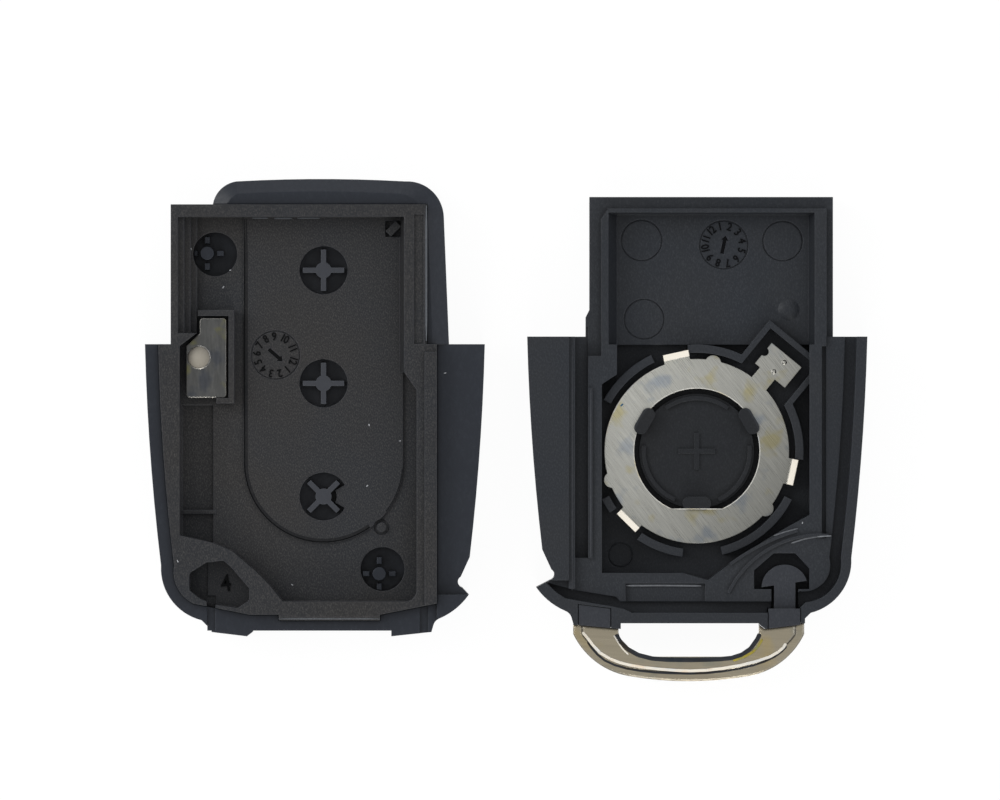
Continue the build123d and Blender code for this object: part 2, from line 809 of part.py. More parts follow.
def cut_lands(solid):
    """Cut the lowered lands and the groove beside the well."""
    inset = rim_width + channel_width
    groove_left = well_wide_u + wide_wall_width
    groove_right = groove_left + wide_groove_width
    land = body_face(inset) & block_face(groove_right, shoulder_half, wide_land_low_v, shoulder_v)
    solid = solid - prism(land, battery_parting - wide_land_drop, battery_clear)
    solid = solid - block(groove_left, groove_right, wide_groove_low_v, shoulder_v - overrun,
                          battery_parting - wide_groove_depth, battery_clear)
    solid = solid - block(low_land_left_u, low_land_right_u, bottom_v + inset, low_land_top_v,
                          battery_parting - low_land_drop, battery_clear)
    slope = Plane.YZ * polygon([(low_land_top_v - root, battery_parting - low_land_drop),
                                (low_land_top_v, battery_parting - low_land_drop),
                                (low_land_top_v + low_land_slope, battery_parting + root),
                                (low_land_top_v - root, battery_parting + root)])
    run = low_land_right_u - low_land_left_u
    return solid - Pos(low_land_left_u, 0, 0) * extrude(slope, run, dir=(1, 0, 0))


def add_wing(solid):
    """Add the wing, its ridge and the rib on the narrow side, and cut the channel between them."""
    channel_right = narrow_channel_left_u + narrow_channel_width
    solid = solid - block(narrow_channel_left_u, channel_right, hip_v, shoulder_v + overrun,
                          channel_floor, battery_clear)
    base = battery_parting - overrun
    solid = solid + block(channel_right, channel_right + narrow_rib_width, hip_v, narrow_rib_top_v,
                          base, battery_parting + narrow_rib_height)
    ridge_left = narrow_channel_left_u - wing_ridge_width
    wing = body_face() - notch_face(battery_nose_reach)
    wing = wing & block_face(-shoulder_half - overrun, ridge_left, notch_low[1], shoulder_v)
    solid = solid + prism(wing, base, wing_top)
    return solid + block(ridge_left, narrow_channel_left_u, nose_tip_v - wing_ridge_past_tip, shoulder_v,
                         base, wing_top - wing_ridge_drop)


def fine_rib(points):
    """Return a fine raised rib on the parting face along an arc through three points."""
    strip = trace(ThreePointArc(*points), line_width=fine_rib_width)
    return prism(strip, battery_parting - root, battery_parting + fine_rib_height)


def rear_case():
    """Build the moulding of the battery half."""
    solid = outer_round(prism(battery_outline(), 0, battery_parting))
    solid = solid - neck_cavity() - prism(well_face(), battery_skin, battery_clear) - neck_band()
    solid = add_wing(cut_lands(add_rim(solid)))
    for wall in seat_walls():
        solid = solid + wall
    solid = solid + arm_pocket_walls() - arm_pocket()
    for form in hub_forms():
        solid = solid + form
    for points in fine_rib_paths:
        solid = solid + fine_rib(points)
    solid = solid - leg_space(foot_left_u, foot_left_slant) - leg_space(foot_right_u, 0)
    solid = solid - stud_space() - groove_ring(*well_mark, battery_skin)
    for along, drop, radius in neck_marks:
        solid = solid - groove_ring(along, neck_top_v - drop, radius, neck_floor)
    solid = solid - dial_groove(battery_dial_u, neck_top_v - battery_dial_drop, battery_dial_turn, neck_floor)
    return solid + low_dome(*bump_mark, bump_mark_rise, neck_floor)


def contact_arm():
    """Return the flat outline of the contact's arm and of the link to the ring."""
    plate = block_face(0, arm_length, -arm_width, 0)
    notch = (Pos(0, -arm_notch_down) * Circle(arm_notch / 2)
             + block_face(-arm_notch, 0, -arm_notch_down - arm_notch / 2, -arm_notch_down + arm_notch / 2))
    link = block_face(arm_link_along - arm_link_width / 2, arm_link_along + arm_link_width / 2,
                      -arm_width - arm_link_length, -arm_width + root)
    return arm_frame() * ((plate - notch) + link)


def contact_tab():
    """Return one upturned tab of the contact, standing at the outer edge of the ring along +X."""
    low = contact_height
    half = tab_width / 2
    inner = tab_inner_radius
    outer = inner + contact_sheet
    foot = block(contact_outer_radius - tab_foot, outer, -half, half, low, low + contact_sheet)
    post = block(inner, outer, -half, half, low, low + tab_height)
    lip = block(inner, inner + tab_lip, -half, half, low + tab_height - contact_sheet, low + tab_height)
    return foot + post + lip


def battery_contact():
    """Build the stamped contact ring with its tabs, bumps and arm."""
    high = contact_height + contact_sheet
    inner = contact_inner_radius
    flat = block_face(-inner, inner, -inner - contact_flat_overlap, contact_flat_inset - inner)
    ring = (Circle(contact_outer_radius) - Circle(inner)) + (flat & Circle(inner + contact_flat_overlap))
    for angle in bump_angles:
        reach = contact_outer_radius - bump_sink
        ring = ring + Pos(reach * cos(radians(angle)), reach * sin(radians(angle))) * Circle(bump_radius)
    solid = prism(ring + contact_arm(), contact_height, high)
    for angle in tab_angles:
        solid = solid + Rot(0, 0, angle) * contact_tab()
    dimple = Cone(arm_dimple_radius, arm_dimple_top_radius, arm_dimple_height,
                  align=(Align.CENTER, Align.CENTER, Align.MIN))
    for along, up in arm_dimples:
        solid = solid + arm_frame() * Pos(along, up, high) * dimple
    return solid


def loop_face(inset):
    """Return the outline of the key ring loop, drawn in by an inset."""
    half = loop_half - inset
    low = loop_low_v + inset
    knee = half * loop_knee_share
    knee_v = low + loop_knee_rise
    floor = ThreePointArc((-knee, knee_v), (0, low), (knee, knee_v))
    side = TangentArc((knee, knee_v), (half, loop_side_v), tangent=floor % 1)
    leg = Line((half, loop_side_v), (half, leg_top_v))
    mirrored = [mirror(curve, about=Plane.YZ) for curve in (leg, side)]
    head = Line((half, leg_top_v), (-half, leg_top_v))
    return Pos(loop_centre_u, 0) * make_face(Curve() + [leg, side, floor, head] + mirrored)


def loop_opening():
    """Return the outline of the opening in the loop."""
    half = loop_inner_half
    low = loop_inner_low_v
    knee = half * loop_inner_knee_share
    swing_v = (loop_inner_side_v + low) / 2 - loop_inner_swing_drop
    side = ThreePointArc((half, loop_inner_side_v), (half * loop_inner_swing_share, swing_v), (knee, low))
    top_v = leg_top_v + overrun
    leg = Line((half, top_v), (half, loop_inner_side_v))
    mirrored = [mirror(curve, about=Plane.YZ) for curve in (leg, side)]
    floor = Line((-knee, low), (knee, low))
    head = Line((half, top_v), (-half, top_v))
    return Pos(loop_centre_u, 0) * make_face(Curve() + [leg, side, floor, head] + mirrored)


def key_ring_loop():
    """Build the metal loop, with a leg at each end that goes under its foot."""
    top = loop_base + loop_thick
    solid = prism(loop_face(0), loop_base, leg_top)
    base = solid.faces().sort_by(Axis.Z)[0]
    low_edges = base.edges().filter_by_position(Axis.Y, loop_low_v - overrun, loop_side_v)
    solid = fillet(low_edges, loop_edge_round)
    solid = solid + prism(loop_face(loop_plateau_inset), leg_top - root, top)
    case = Pos(0, -leg_clearance) * body_outline(battery_nose_reach)
    solid = solid - prism(loop_opening() + case, loop_base - overrun, top + overrun)
    for left_u in (foot_left_u, foot_right_u):
        solid = solid + block(left_u, left_u + foot_width, boss_low_v - leg_overlap, leg_top_v, loop_base,
                              leg_top)
    return solid


def foot_face(left_u, slant):
    """Return the outline of a foot over a leg of the loop, its upper edge rising by a slant to the left."""
    left = left_u + foot_seam
    right = left_u + foot_width - foot_seam
    low = boss_low_v - overrun
    face = polygon([(left, foot_top_v + slant), (right, foot_top_v), (right, low), (left, low)])
    return face & body_outline(battery_nose_reach)


def loop_foot_left():
    """Build the plastic block that covers the left leg of the loop."""
    return prism(foot_face(foot_left_u, foot_left_slant), leg_top, foot_top)


def loop_foot_right():
    """Build the plastic block over the right leg, with its stem and mushroom head."""
    foot = prism(foot_face(foot_right_u, 0), leg_top, foot_top)
    end_v = head_v + head_radius / 2
    stem = block(stem_left_u, stem_right_u, foot_top_v - root, end_v, leg_top, battery_parting)
    low_v = foot_top_v + leg_clearance
    stem = stem + block(stem_left_u, stem_right_u, low_v, end_v, head_base, battery_parting)
    crown = Circle(head_radius) & block_face(-head_radius, head_radius, head_cut, head_radius)
    place = Pos(head_u, head_v) * Rot(0, 0, head_tilt)
    return foot + stem + prism(place * crown, head_base, battery_parting)


def tray_side(face):
    """Return a shared outline turned over for the button half."""
    return mirror(face, about=Plane.YZ)


def tray_outline(grow=0.0):
    """Return the outline of the tray, enlarged by a clearance."""
    body = tray_side(body_face(tray_inset - grow))
    right = tray_right_x + grow
    low = tray_low_v - grow
    side_low = low + tray_corner_rise
    body = body & polygon([(-right, side_low), (-tray_strip_right_x, low), (tray_strip_right_x, low),
                           (right, side_low), (right, shoulder_v), (-shoulder_half, shoulder_v),
                           (-shoulder_half, side_low)])
    strip = block_face(tray_strip_left_x - grow, tray_strip_right_x + grow, foot_v - grow,
                       tray_low_v + overrun)
    neck = block_face(tray_neck_left_x - grow, tray_neck_right_x + grow, 0, neck_top_v + grow)
    return body + strip + neck


def tray_cavity():
    """Return the outline of the tray's floor."""
    neck_left = tray_neck_left_x + tray_wall_left + stair_count * stair_width
    neck_right = tray_neck_right_x - tray_wall_right
    top = neck_top_v - tray_wall_top
    corner = (low_wall_right_x - low_wall_round, low_wall_bottom_v)
    side_end = (low_wall_right_x, low_wall_bottom_v + low_wall_round)
    turn_middle = low_wall_round * (1 - cos(radians(45)))
    turn = ThreePointArc(side_end, (low_wall_right_x - turn_middle, low_wall_bottom_v + turn_middle), corner)
    right = Polyline((neck_left, top), (neck_right, top), (neck_right, jog_top_v),
                     (low_wall_right_x, jog_low_v), side_end)
    land = [(along, low_wall_bottom_v + rise) for along, rise in reversed(land_edge)]
    land.append((low_wall_left_x, low_wall_bottom_v + land_top_rise))
    left = Polyline(corner, (land_end_x, low_wall_bottom_v), *land, (low_wall_left_x, low_wall_left_top_v),
                    (neck_left, stair_end_v), (neck_left, top))
    return make_face(Curve() + [right, turn, left])


def plunger_hole(number):
    """Return the outline of the hole for one plunger. The last one is keyed."""
    hole = Circle(plunger_hole_radius)
    if number == len(button_names) - 1:
        hole = hole - ring_piece(key_tab_radius, plunger_hole_radius + overrun, 0, key_tab_span)
    return hole


def button_places():
    """Return the centre of each button, from the top down."""
    return [(button_column_x, button_top_v - number * button_pitch) for number in range(len(button_names))]


def cap_face(grow):
    """Return the outline of a button cap, enlarged by a margin."""
    return RectangleRounded(cap_width + 2 * grow, cap_length + 2 * grow, cap_corner + grow)


def latch_outline():
    """Return the outline of the latch plate."""
    face = polygon([(latch_left_x, latch_low_v), (latch_right_x, latch_low_v), (latch_right_x, latch_top_v),
                    (latch_step_x, latch_top_v), (latch_step_x, latch_top_v - latch_step_top_drop),
                    (latch_left_x, latch_top_v - latch_step_low_drop)])
    ends = [face.vertices().sort_by(Axis.Y)[:2], face.vertices().sort_by(Axis.Y)[-2:]]
    return fillet(ends[0] + ends[1], latch_corner)


def latch_plate():
    """Build the pressed steel plate with its dome."""
    top = latch_seat + latch_thick
    dome = low_dome(latch_left_x + latch_dome_inset, latch_top_v - latch_dome_drop, latch_dome_radius,
                    latch_dome_height, top)
    return prism(latch_outline(), latch_seat, top) + dome


def latch_frame():
    """Return the L-shaped rib that frames the latch plate."""
    inner = latch_right_x + latch_frame_gap
    outer = inner + latch_frame_wall
    top = latch_top_v + latch_frame_gap
    end_v = latch_low_v - latch_gap
    low = latch_low_v - latch_frame_wall
    foot_left = outer - latch_frame_foot
    left = latch_step_x - latch_frame_overlap
    face = polygon([(left, top), (inner, top), (inner, end_v), (foot_left, end_v), (foot_left, low),
                    (outer, low), (outer, top + latch_frame_wall), (left, top + latch_frame_wall)])
    return prism(face, floor_top - root, latch_seat + latch_thick + latch_frame_rise)


def shape_floor(solid):
    """Raise the floor over the buttons and cut the stairs and the gutter at the left."""
    cavity = tray_cavity()
    plateau = (Pos(0, plateau_arc_v) * Circle(plateau_half)
               + block_face(-plateau_half, plateau_half, plateau_arc_v, neck_top_v))
    plateau = Pos(button_column_x, 0) * plateau
    solid = solid + prism(plateau & cavity, floor_top - root, plateau_top)
    stairs_left = tray_neck_left_x + tray_wall_left
    stairs_right = stairs_left + stair_count * stair_width
    for step in range(stair_count):
        solid = solid - block(stairs_left + step * stair_width, stairs_right, stair_end_v,
                              neck_top_v - tray_wall_top, tray_parting - (step + 1) * stair_drop, tray_clear)
    gutter = cavity & block_face(low_wall_left_x + gutter_margin, gutter_right_x, gutter_low_v, gutter_top_v)
    solid = solid - prism(gutter, gutter_floor, tray_clear)
    solid = solid + block(low_wall_left_x - root, gutter_right_x + gutter_rib_reach,
                          gutter_rib_v - gutter_rib_width / 2, gutter_rib_v + gutter_rib_width / 2,
                          gutter_floor - root, floor_top + gutter_rib_rise)
    return solid + floor_slope()


def floor_slope():
    """Return the slope at the foot of the tray's right neck wall."""
    foot = tray_neck_right_x - tray_wall_right
    top_v = neck_top_v - tray_wall_top
    start = foot - tray_floor_slope
    profile = Plane.XZ * polygon([(foot + root, floor_top - root), (start, floor_top - root),
                                  (start, plateau_top + root), (foot + root, tray_parting - tray_slope_drop)])
    return Pos(0, top_v, 0) * extrude(profile, top_v - jog_top_v, dir=(0, -1, 0))


def wall_step():
    """Return the cutter of the shallow step in the tray's right neck wall, inside its outer edge."""
    left = tray_neck_right_x - tray_wall_right + tray_wall_step
    return block(left, tray_neck_right_x - tray_wall_edge, shoulder_v, neck_top_v - tray_wall_step,
                 tray_parting - tray_wall_step_drop, tray_clear)


def bevel_profile(edge, out, bevel):
    """Return the triangle that bevels an upper edge of the tray, which faces out to one side (-1 or 1)."""
    near = edge - out * (bevel + overrun)
    far = edge + out * overrun
    return polygon([(near, tray_clear), (far, tray_parting - bevel - overrun), (far, tray_clear)])


def neck_bevel():
    """Return the cutter that bevels the outer right edge of the tray's neck."""
    profile = Plane.XZ * bevel_profile(tray_neck_right_x, 1, tray_neck_bevel)
    end_v = neck_top_v + overrun
    return Pos(0, end_v, 0) * extrude(profile, end_v - shoulder_v, dir=(0, -1, 0))


def strip_bevel():
    """Return the cutter that bevels the lower edge of the tray's strip."""
    profile = Plane.YZ * bevel_profile(foot_v, -1, tray_strip_bevel)
    run = tray_strip_right_x - tray_strip_left_x
    return Pos(tray_strip_left_x, 0, 0) * extrude(profile, run, dir=(1, 0, 0))


def fit_buttons(solid):
    """Cut the recess and the plunger hole of each button."""
    for number, place in enumerate(button_places()):
        recess = Pos(*place) * cap_face(flange_rim + flange_clearance)
        solid = solid - prism(recess, cover_skin - overrun, recess_top)
        solid = solid - prism(Pos(*place) * plunger_hole(number), recess_top - root, tray_clear)
    return solid


def fit_posts_and_pegs(solid):
    """Cut the holes for the cover's posts, and add the two pegs in their pockets."""
    for x, v in post_holes:
        solid = solid - disc(x, v, post_hole_radius, cover_skin - overrun, tray_clear)
    base = plateau_top - peg_pocket_depth
    round_place = (button_column_x + peg_run, button_last_v - peg_drop)
    solid = solid - disc(*round_place, peg_pocket_radius, base, tray_clear)
    solid = solid + disc(*round_place, peg_radius, base - root, plateau_top + peg_rise)
    place = Pos(tray_neck_right_x - slanted_peg_inset, neck_top_v - slanted_peg_drop)
    pocket = place * Rectangle(slanted_pocket, slanted_pocket)
    solid = solid - prism(pocket, base, plateau_top + peg_pocket_depth)
    peg = place * Rot(0, 0, slanted_peg_turn) * Rectangle(slanted_peg_length, slanted_peg_width)
    return solid + prism(peg, base - root, plateau_top + slanted_peg_rise)


def front_tray():
    """Build the inner tray of the button half."""
    solid = prism(tray_outline(), cover_skin, tray_parting)
    solid = shape_floor(solid - prism(tray_cavity(), floor_top, tray_clear))
    rim = block_face(tray_right_x - tray_rim_width, tray_right_x, tray_low_v + tray_rim_low_rise,
                     shoulder_v - tray_rim_top_drop)
    rim = rim & tray_outline()
    solid = solid + prism(rim, tray_parting - root, tray_parting + tray_rim_rise) - wall_step()
    solid = fit_posts_and_pegs(fit_buttons(solid))
    solid = solid - prism(offset(latch_outline(), latch_gap), latch_seat, tray_clear)
    solid = solid + prism(latch_outline(), floor_top - root, latch_seat) + latch_frame()
    pocket = polygon([(along - head_u, head_v + up) for along, up in stud_pocket_edge])
    pocket = fillet(pocket.vertices(), stud_pocket_corner)
    pocket_base = tray_parting - head_pocket_depth
    solid = solid - prism(pocket, pocket_base, tray_clear)
    deep = pocket & block_face(-shoulder_half, stud_slot_left_x + root, bottom_v, 0)
    solid = solid - prism(deep, pocket_base - stud_slot_drop, tray_clear)
    solid = solid - block(stud_slot_left_x, stud_slot_left_x + stud_slot_width, bottom_v - overrun,
                          head_v - stud_slot_under_head, pocket_base - stud_slot_drop, tray_clear)
    dial_v = button_top_v - button_pitch + tray_dial_rise
    solid = solid - dial_groove(tray_dial_x, dial_v, tray_dial_turn, plateau_top)
    return solid - neck_bevel() - strip_bevel()


def cover_edge(right=0.0, top=0.0):
    """Return the cover's edge round the neck and its two ends, drawn in at the right and at the top."""
    left_low = (cover_left_x + top, cover_left_low_v)
    left_top = (cover_top_left_x, cover_top_v - top)
    right_top = (cover_top_right_x - right * rail_corner_share, cover_top_v - top)
    right_low = (cover_right_top_x - right, cover_right_top_v)
    crown = ((left_top[0] + right_top[0]) / 2, cover_top_v + cover_crown - top)
    edge = [RadiusArc(left_low, left_top, cover_left_radius), ThreePointArc(left_top, crown, right_top),
            RadiusArc(right_top, right_low, cover_right_radius)]
    return edge, left_low, right_low


def cover_neck():
    """Return the outline of the cover where it stands out past the tray's neck."""
    edge, left_low, right_low = cover_edge()
    rest = Polyline(right_low, (cover_right_low_x, shoulder_v), (cover_right_low_x, 0),
                    (cover_under_neck_x, 0), (cover_under_neck_x, cover_left_low_v), left_low)
    return make_face(Curve() + edge + [rest])


def rail_face(right, top):
    """Return the outline inside the cover's edge round the neck, drawn in at the right and at the top."""
    edge, left_low, right_low = cover_edge(right, top)
    low = shoulder_v - rail_foot_gap
    rest = Polyline(right_low, (cover_right_low_x - right, low), (left_low[0], low), left_low)
    return make_face(Curve() + edge + [rest])


def cover_rail():
    """Return the rail round the neck: it stands against the tray and slopes down to the outer edge."""
    slope = loft([Pos(0, 0, rail_edge) * rail_face(0, 0),
                  Pos(0, 0, rail_top) * rail_face(rail_slope_right, rail_slope_top)])
    return prism(rail_face(0, 0), outer_edge_round, rail_edge) + slope


def cover_post(place, shift):
    """Return one post of the cover and the ribs round its foot."""
    hole = Pos(*place)
    axis = Pos(place[0] + shift[0], place[1] + shift[1])
    top = floor_top + post_rise
    ribs = Rectangle(2 * post_rib_reach, post_rib) + Rectangle(post_rib, 2 * post_rib_reach)
    ribs = axis * ((ribs - Circle(post_radius + post_rib_gap)) & Circle(post_rib_reach))
    ribs = ribs & (hole * Circle(post_hole_radius - post_hole_margin))
    post = prism(axis * Circle(post_radius), cover_skin - root, top)
    return post + prism(ribs, cover_skin - root, top - post_rib_drop)


def front_cover():
    """Build the outer cover of the button half."""
    body = tray_side(body_outline(cover_nose_reach))
    solid = outer_round(prism(body + cover_neck(), 0, cover_skin))
    solid = solid + prism(body, outer_edge_round, lap_floor) + cover_rail()
    wing = body & block_face(tray_right_x, shoulder_half + overrun, nose_tip_v, shoulder_v)
    solid = solid - prism(wing, wing_top_cover, tray_clear)
    nose = body & block_face(tray_right_x, shoulder_half, foot_v, nose_tip_v)
    solid = solid + prism(nose, lap_floor - root, lap_floor + nose_rise)
    for left in (cover_slot_left_x, stud_slot_left_x):
        solid = solid - block(left, left + cover_slot_width, bottom_v - overrun, foot_v + cover_slot_rise,
                              lap_floor - cover_slot_depth, tray_clear)
    solid = solid - prism(tray_outline(tray_fit), cover_skin, tray_clear)
    for place in button_places():
        solid = solid - prism(Pos(*place) * cap_face(cap_gap), -overrun, cover_skin + overrun)
    for place, shift in zip(post_holes, post_offsets):
        solid = solid + cover_post(place, shift)
    return solid


def button(number):
    """Build one button about its own centre: cap, flange and cross plunger."""
    flange_base = cover_skin + flange_gap
    flange_top = flange_base + flange_thick
    cap = prism(cap_face(0), cap_recess, flange_base + root)
    cap = fillet(cap.faces().sort_by(Axis.Z)[0].edges(), cap_round)
    flange = prism(cap_face(flange_rim), flange_base, flange_top)
    cross = Rectangle(2 * plunger_tip_radius, plunger_leg) + Rectangle(plunger_leg, 2 * plunger_tip_radius)
    cross = (cross & Circle(plunger_tip_radius)) + Circle(plunger_hub_radius)
    turn = key_turn if number == len(button_names) - 1 else 0
    plunger = Rot(0, 0, turn) * prism(cross, flange_top - root, plateau_top + plunger_rise)
    return cap + flange + plunger


def build():
    """Build each piece in its place and write it to its own file."""
    right = Pos(half_spacing / 2, 0, 0)
    left = Pos(-half_spacing / 2, button_half_shift, 0)
    placed = {}
    for piece in (rear_case, battery_contact, key_ring_loop, loop_foot_left, loop_foot_right):
        placed[piece.__name__] = right * piece()
    for piece in (front_tray, front_cover, latch_plate):
        placed[piece.__name__] = left * piece()
    for number, place in enumerate(button_places()):
        placed[button_names[number]] = left * Pos(*place) * button(number)
    boxes = [solid.bounding_box() for solid in placed.values()]
    middle_x = (min(box.min.X for box in boxes) + max(box.max.X for box in boxes)) / 2
    middle_y = (min(box.min.Y for box in boxes) + max(box.max.Y for box in boxes)) / 2
    os.makedirs("parts", exist_ok=True)
    for name, solid in placed.items():
        export_step(Pos(-middle_x, -middle_y, 0) * solid, f"parts/{name}.step")


build()
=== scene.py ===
"""Dresses a flip key remote shell that lies open: its finishes, moulding marks, flecks, floor, light and camera."""

import logging
import math
import random
from dataclasses import dataclass, field
from enum import Enum
from typing import Callable

import bpy
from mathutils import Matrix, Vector


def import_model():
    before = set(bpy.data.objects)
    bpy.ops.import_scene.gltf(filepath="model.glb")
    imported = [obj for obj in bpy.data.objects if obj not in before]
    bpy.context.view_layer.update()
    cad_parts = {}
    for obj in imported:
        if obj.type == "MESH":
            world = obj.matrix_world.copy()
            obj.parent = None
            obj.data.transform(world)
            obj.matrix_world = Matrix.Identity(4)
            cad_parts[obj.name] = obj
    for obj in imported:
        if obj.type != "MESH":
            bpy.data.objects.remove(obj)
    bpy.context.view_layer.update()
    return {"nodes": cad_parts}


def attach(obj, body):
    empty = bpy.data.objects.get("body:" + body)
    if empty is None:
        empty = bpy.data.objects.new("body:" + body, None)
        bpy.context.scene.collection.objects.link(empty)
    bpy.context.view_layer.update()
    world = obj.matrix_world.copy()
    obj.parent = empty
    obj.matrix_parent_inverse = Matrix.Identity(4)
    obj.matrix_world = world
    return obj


log = logging.getLogger("scene")

MM = 0.001
SHELL = "shell"
# Height above all pieces, in metres, from which the surface is felt for
ABOVE = 0.05
# Way over the contact, from its upper left to its lower right, along which the painted sheen goes from lighter to
# darker, and how far, in mm
SHEEN_WAY = (0.79, -0.61, 0.0)
SHEEN_REACH = 10.0

Socket = bpy.types.NodeSocket


class Spot(Enum):
    """Kinds of finish on the object, one for each kind of material."""

    TRAY = "tray_plastic"
    COVER = "cover_plastic"
    CASE = "case_plastic"
    PLATE = "plate_steel"
    CONTACT = "contact_nickel"
    LOOP = "loop_nickel"
    FOOT = "foot_plastic"
    BUTTON = "button_plastic"


class Skin(Enum):
    """Kinds of surface that one moulded or stamped piece can show, among them painted highlights, shade and
    reflections.
    """

    PLAIN = "as moulded or plated"
    # Painted shade and painted dark reflections, near-black
    MARK = "polished or worn dark"
    # Painted highlights along edges, and pale shavings of nylon
    GLINT = "burnished pale"
    # Painted soft shade on the tray and painted dull highlights on the case
    RUB = "lightly rubbed or smooth"
    # A painted yellow reflection on the loop, and a dot of ink
    TINT = "tinted"


def linear(code: str) -> tuple[float, float, float, float]:
    """Turn an sRGB hex colour into linear values.

    Args:
        code: Colour written as #RRGGBB.

    Returns:
        Linear red, green, blue and an alpha of one.
    """
    values = [int(code[start:start + 2], 16) / 255 for start in (1, 3, 5)]
    red, green, blue = [v / 12.92 if v <= 0.04045 else ((v + 0.055) / 1.055) ** 2.4 for v in values]
    return red, green, blue, 1.0


def add_node(tree: bpy.types.NodeTree, kind: str, settings: dict | None = None,
             links: dict | None = None) -> bpy.types.Node:
    """Add one node with its settings and links.

    Args:
        tree: Node tree that gets the node.
        kind: Type name of the node.
        settings: Attributes by their name, input values by the name or number of the input, and under
            "stops" the positions and colours of a colour ramp.
        links: Output sockets by the name or number of the input that each one feeds.

    Returns:
        The new node.
    """
    node = tree.nodes.new(kind)
    values = dict(settings or {})
    stops = values.pop("stops", None)
    for key in [k for k in values if isinstance(k, str) and k.islower()]:
        setattr(node, key, values.pop(key))
    for key, value in values.items():
        node.inputs[key].default_value = value
    if stops:
        ramp = node.color_ramp.elements
        while len(ramp) < len(stops):
            ramp.new(1.0)
        for element, (position, colour) in zip(ramp, stops):
            element.position = position
            element.color = colour
    for key, source in (links or {}).items():
        tree.links.new(source, node.inputs[key])
    return node


def new_material(name: str) -> tuple[bpy.types.Material, bpy.types.NodeTree, bpy.types.Node]:
    """Start a node material.

    Args:
        name: Name of the material.

    Returns:
        The material, its empty node tree and its output node.
    """
    material = bpy.data.materials.new(name)
    material.use_nodes = True
    tree = material.node_tree
    tree.nodes.clear()
    return material, tree, add_node(tree, "ShaderNodeOutputMaterial")


def noise(tree: bpy.types.NodeTree, place: Socket, size: float, detail: float, roughness: float = 0.5) -> Socket:
    """Add a noise.

    Args:
        tree: Node tree that gets it.
        place: Coordinates that it follows.
        size: Size of its pattern, in millimetres.
        detail: How many finer layers it has.
        roughness: How strong the finer layers are.

    Returns:
        Its values.
    """
    return add_node(tree, "ShaderNodeTexNoise", {"Scale": 1000 / size, "Detail": detail, "Roughness": roughness},
                    {"Vector": place}).outputs["Fac"]


def remap(tree: bpy.types.NodeTree, value: Socket, source: tuple[float, float],
          target: tuple[float, float]) -> Socket:
    """Stretch the source range of values to the target range, held at its ends."""
    return add_node(tree, "ShaderNodeMapRange", {"From Min": source[0], "From Max": source[1],
                                                 "To Min": target[0], "To Max": target[1]},
                    {"Value": value}).outputs["Result"]


def maths(tree: bpy.types.NodeTree, operation: str, *values: Socket | float) -> Socket:
    """Add one step of arithmetic.

    Args:
        tree: Node tree that gets the step.
        operation: Its name in the node.
        values: Sockets or plain numbers that it works on, in order.

    Returns:
        Its result.
    """
    plain = {number: value for number, value in enumerate(values) if isinstance(value, float)}
    linked = {number: value for number, value in enumerate(values) if number not in plain}
    return add_node(tree, "ShaderNodeMath", {"operation": operation, **plain}, linked).outputs["Value"]


def blend(tree: bpy.types.NodeTree, share: Socket, under: Socket, over: str) -> Socket:
    """Lay one colour, written as #RRGGBB, over others by a share."""
    return add_node(tree, "ShaderNodeMix", {"data_type": "RGBA", 7: linear(over)},
                    {0: share, 6: under}).outputs[2]


def scaled(tree: bpy.types.NodeTree, colour: Socket, factor: Socket) -> Socket:
    """Make colours darker or lighter by a factor."""
    return add_node(tree, "ShaderNodeVectorMath", {"operation": "SCALE"},
                    {0: colour, "Scale": factor}).outputs["Vector"]


def worn_edges(tree: bpy.types.NodeTree, radius: float, sharp: float, amount: float) -> tuple[Socket, Socket]:
    """Round the edges and find where they are made paler, partly as wear and partly as a painted highlight.

    Args:
        tree: Node tree that gets the steps.
        radius: Radius of the edges, in millimetres.
        sharp: Cosine of the turn of the surface at which the paler edge is full.
        amount: The full share of the paler edge colour.

    Returns:
        The rounded normal and the share of the paler edge colour.
    """
    normal = add_node(tree, "ShaderNodeBevel", {"samples": 4, "Radius": radius * MM}).outputs["Normal"]
    flat = add_node(tree, "ShaderNodeNewGeometry").outputs["True Normal"]
    turn = add_node(tree, "ShaderNodeVectorMath", {"operation": "DOT_PRODUCT"}, {0: normal, 1: flat})
    return normal, remap(tree, turn.outputs["Value"], (0.995, sharp), (0.0, amount))


def inner_corners(tree: bpy.types.NodeTree, samples: int, reach: float, span: tuple[float, float],
                  amount: float) -> Socket:
    """Paint shade into inner corners, by how open each point is.

    Args:
        tree: Node tree that gets the steps.
        samples: Number of looks round each point.
        reach: How far the painted shade reaches from a corner, in millimetres.
        span: Openness at which the painted shade is full, and at which it ends.
        amount: Share of the colour that full painted shade takes away.

    Returns:
        A factor for the colour, one where no shade is painted.
    """
    openness = add_node(tree, "ShaderNodeAmbientOcclusion", {"samples": samples, "Distance": reach * MM})
    return remap(tree, openness.outputs["AO"], span, (1.0 - amount, 1.0))


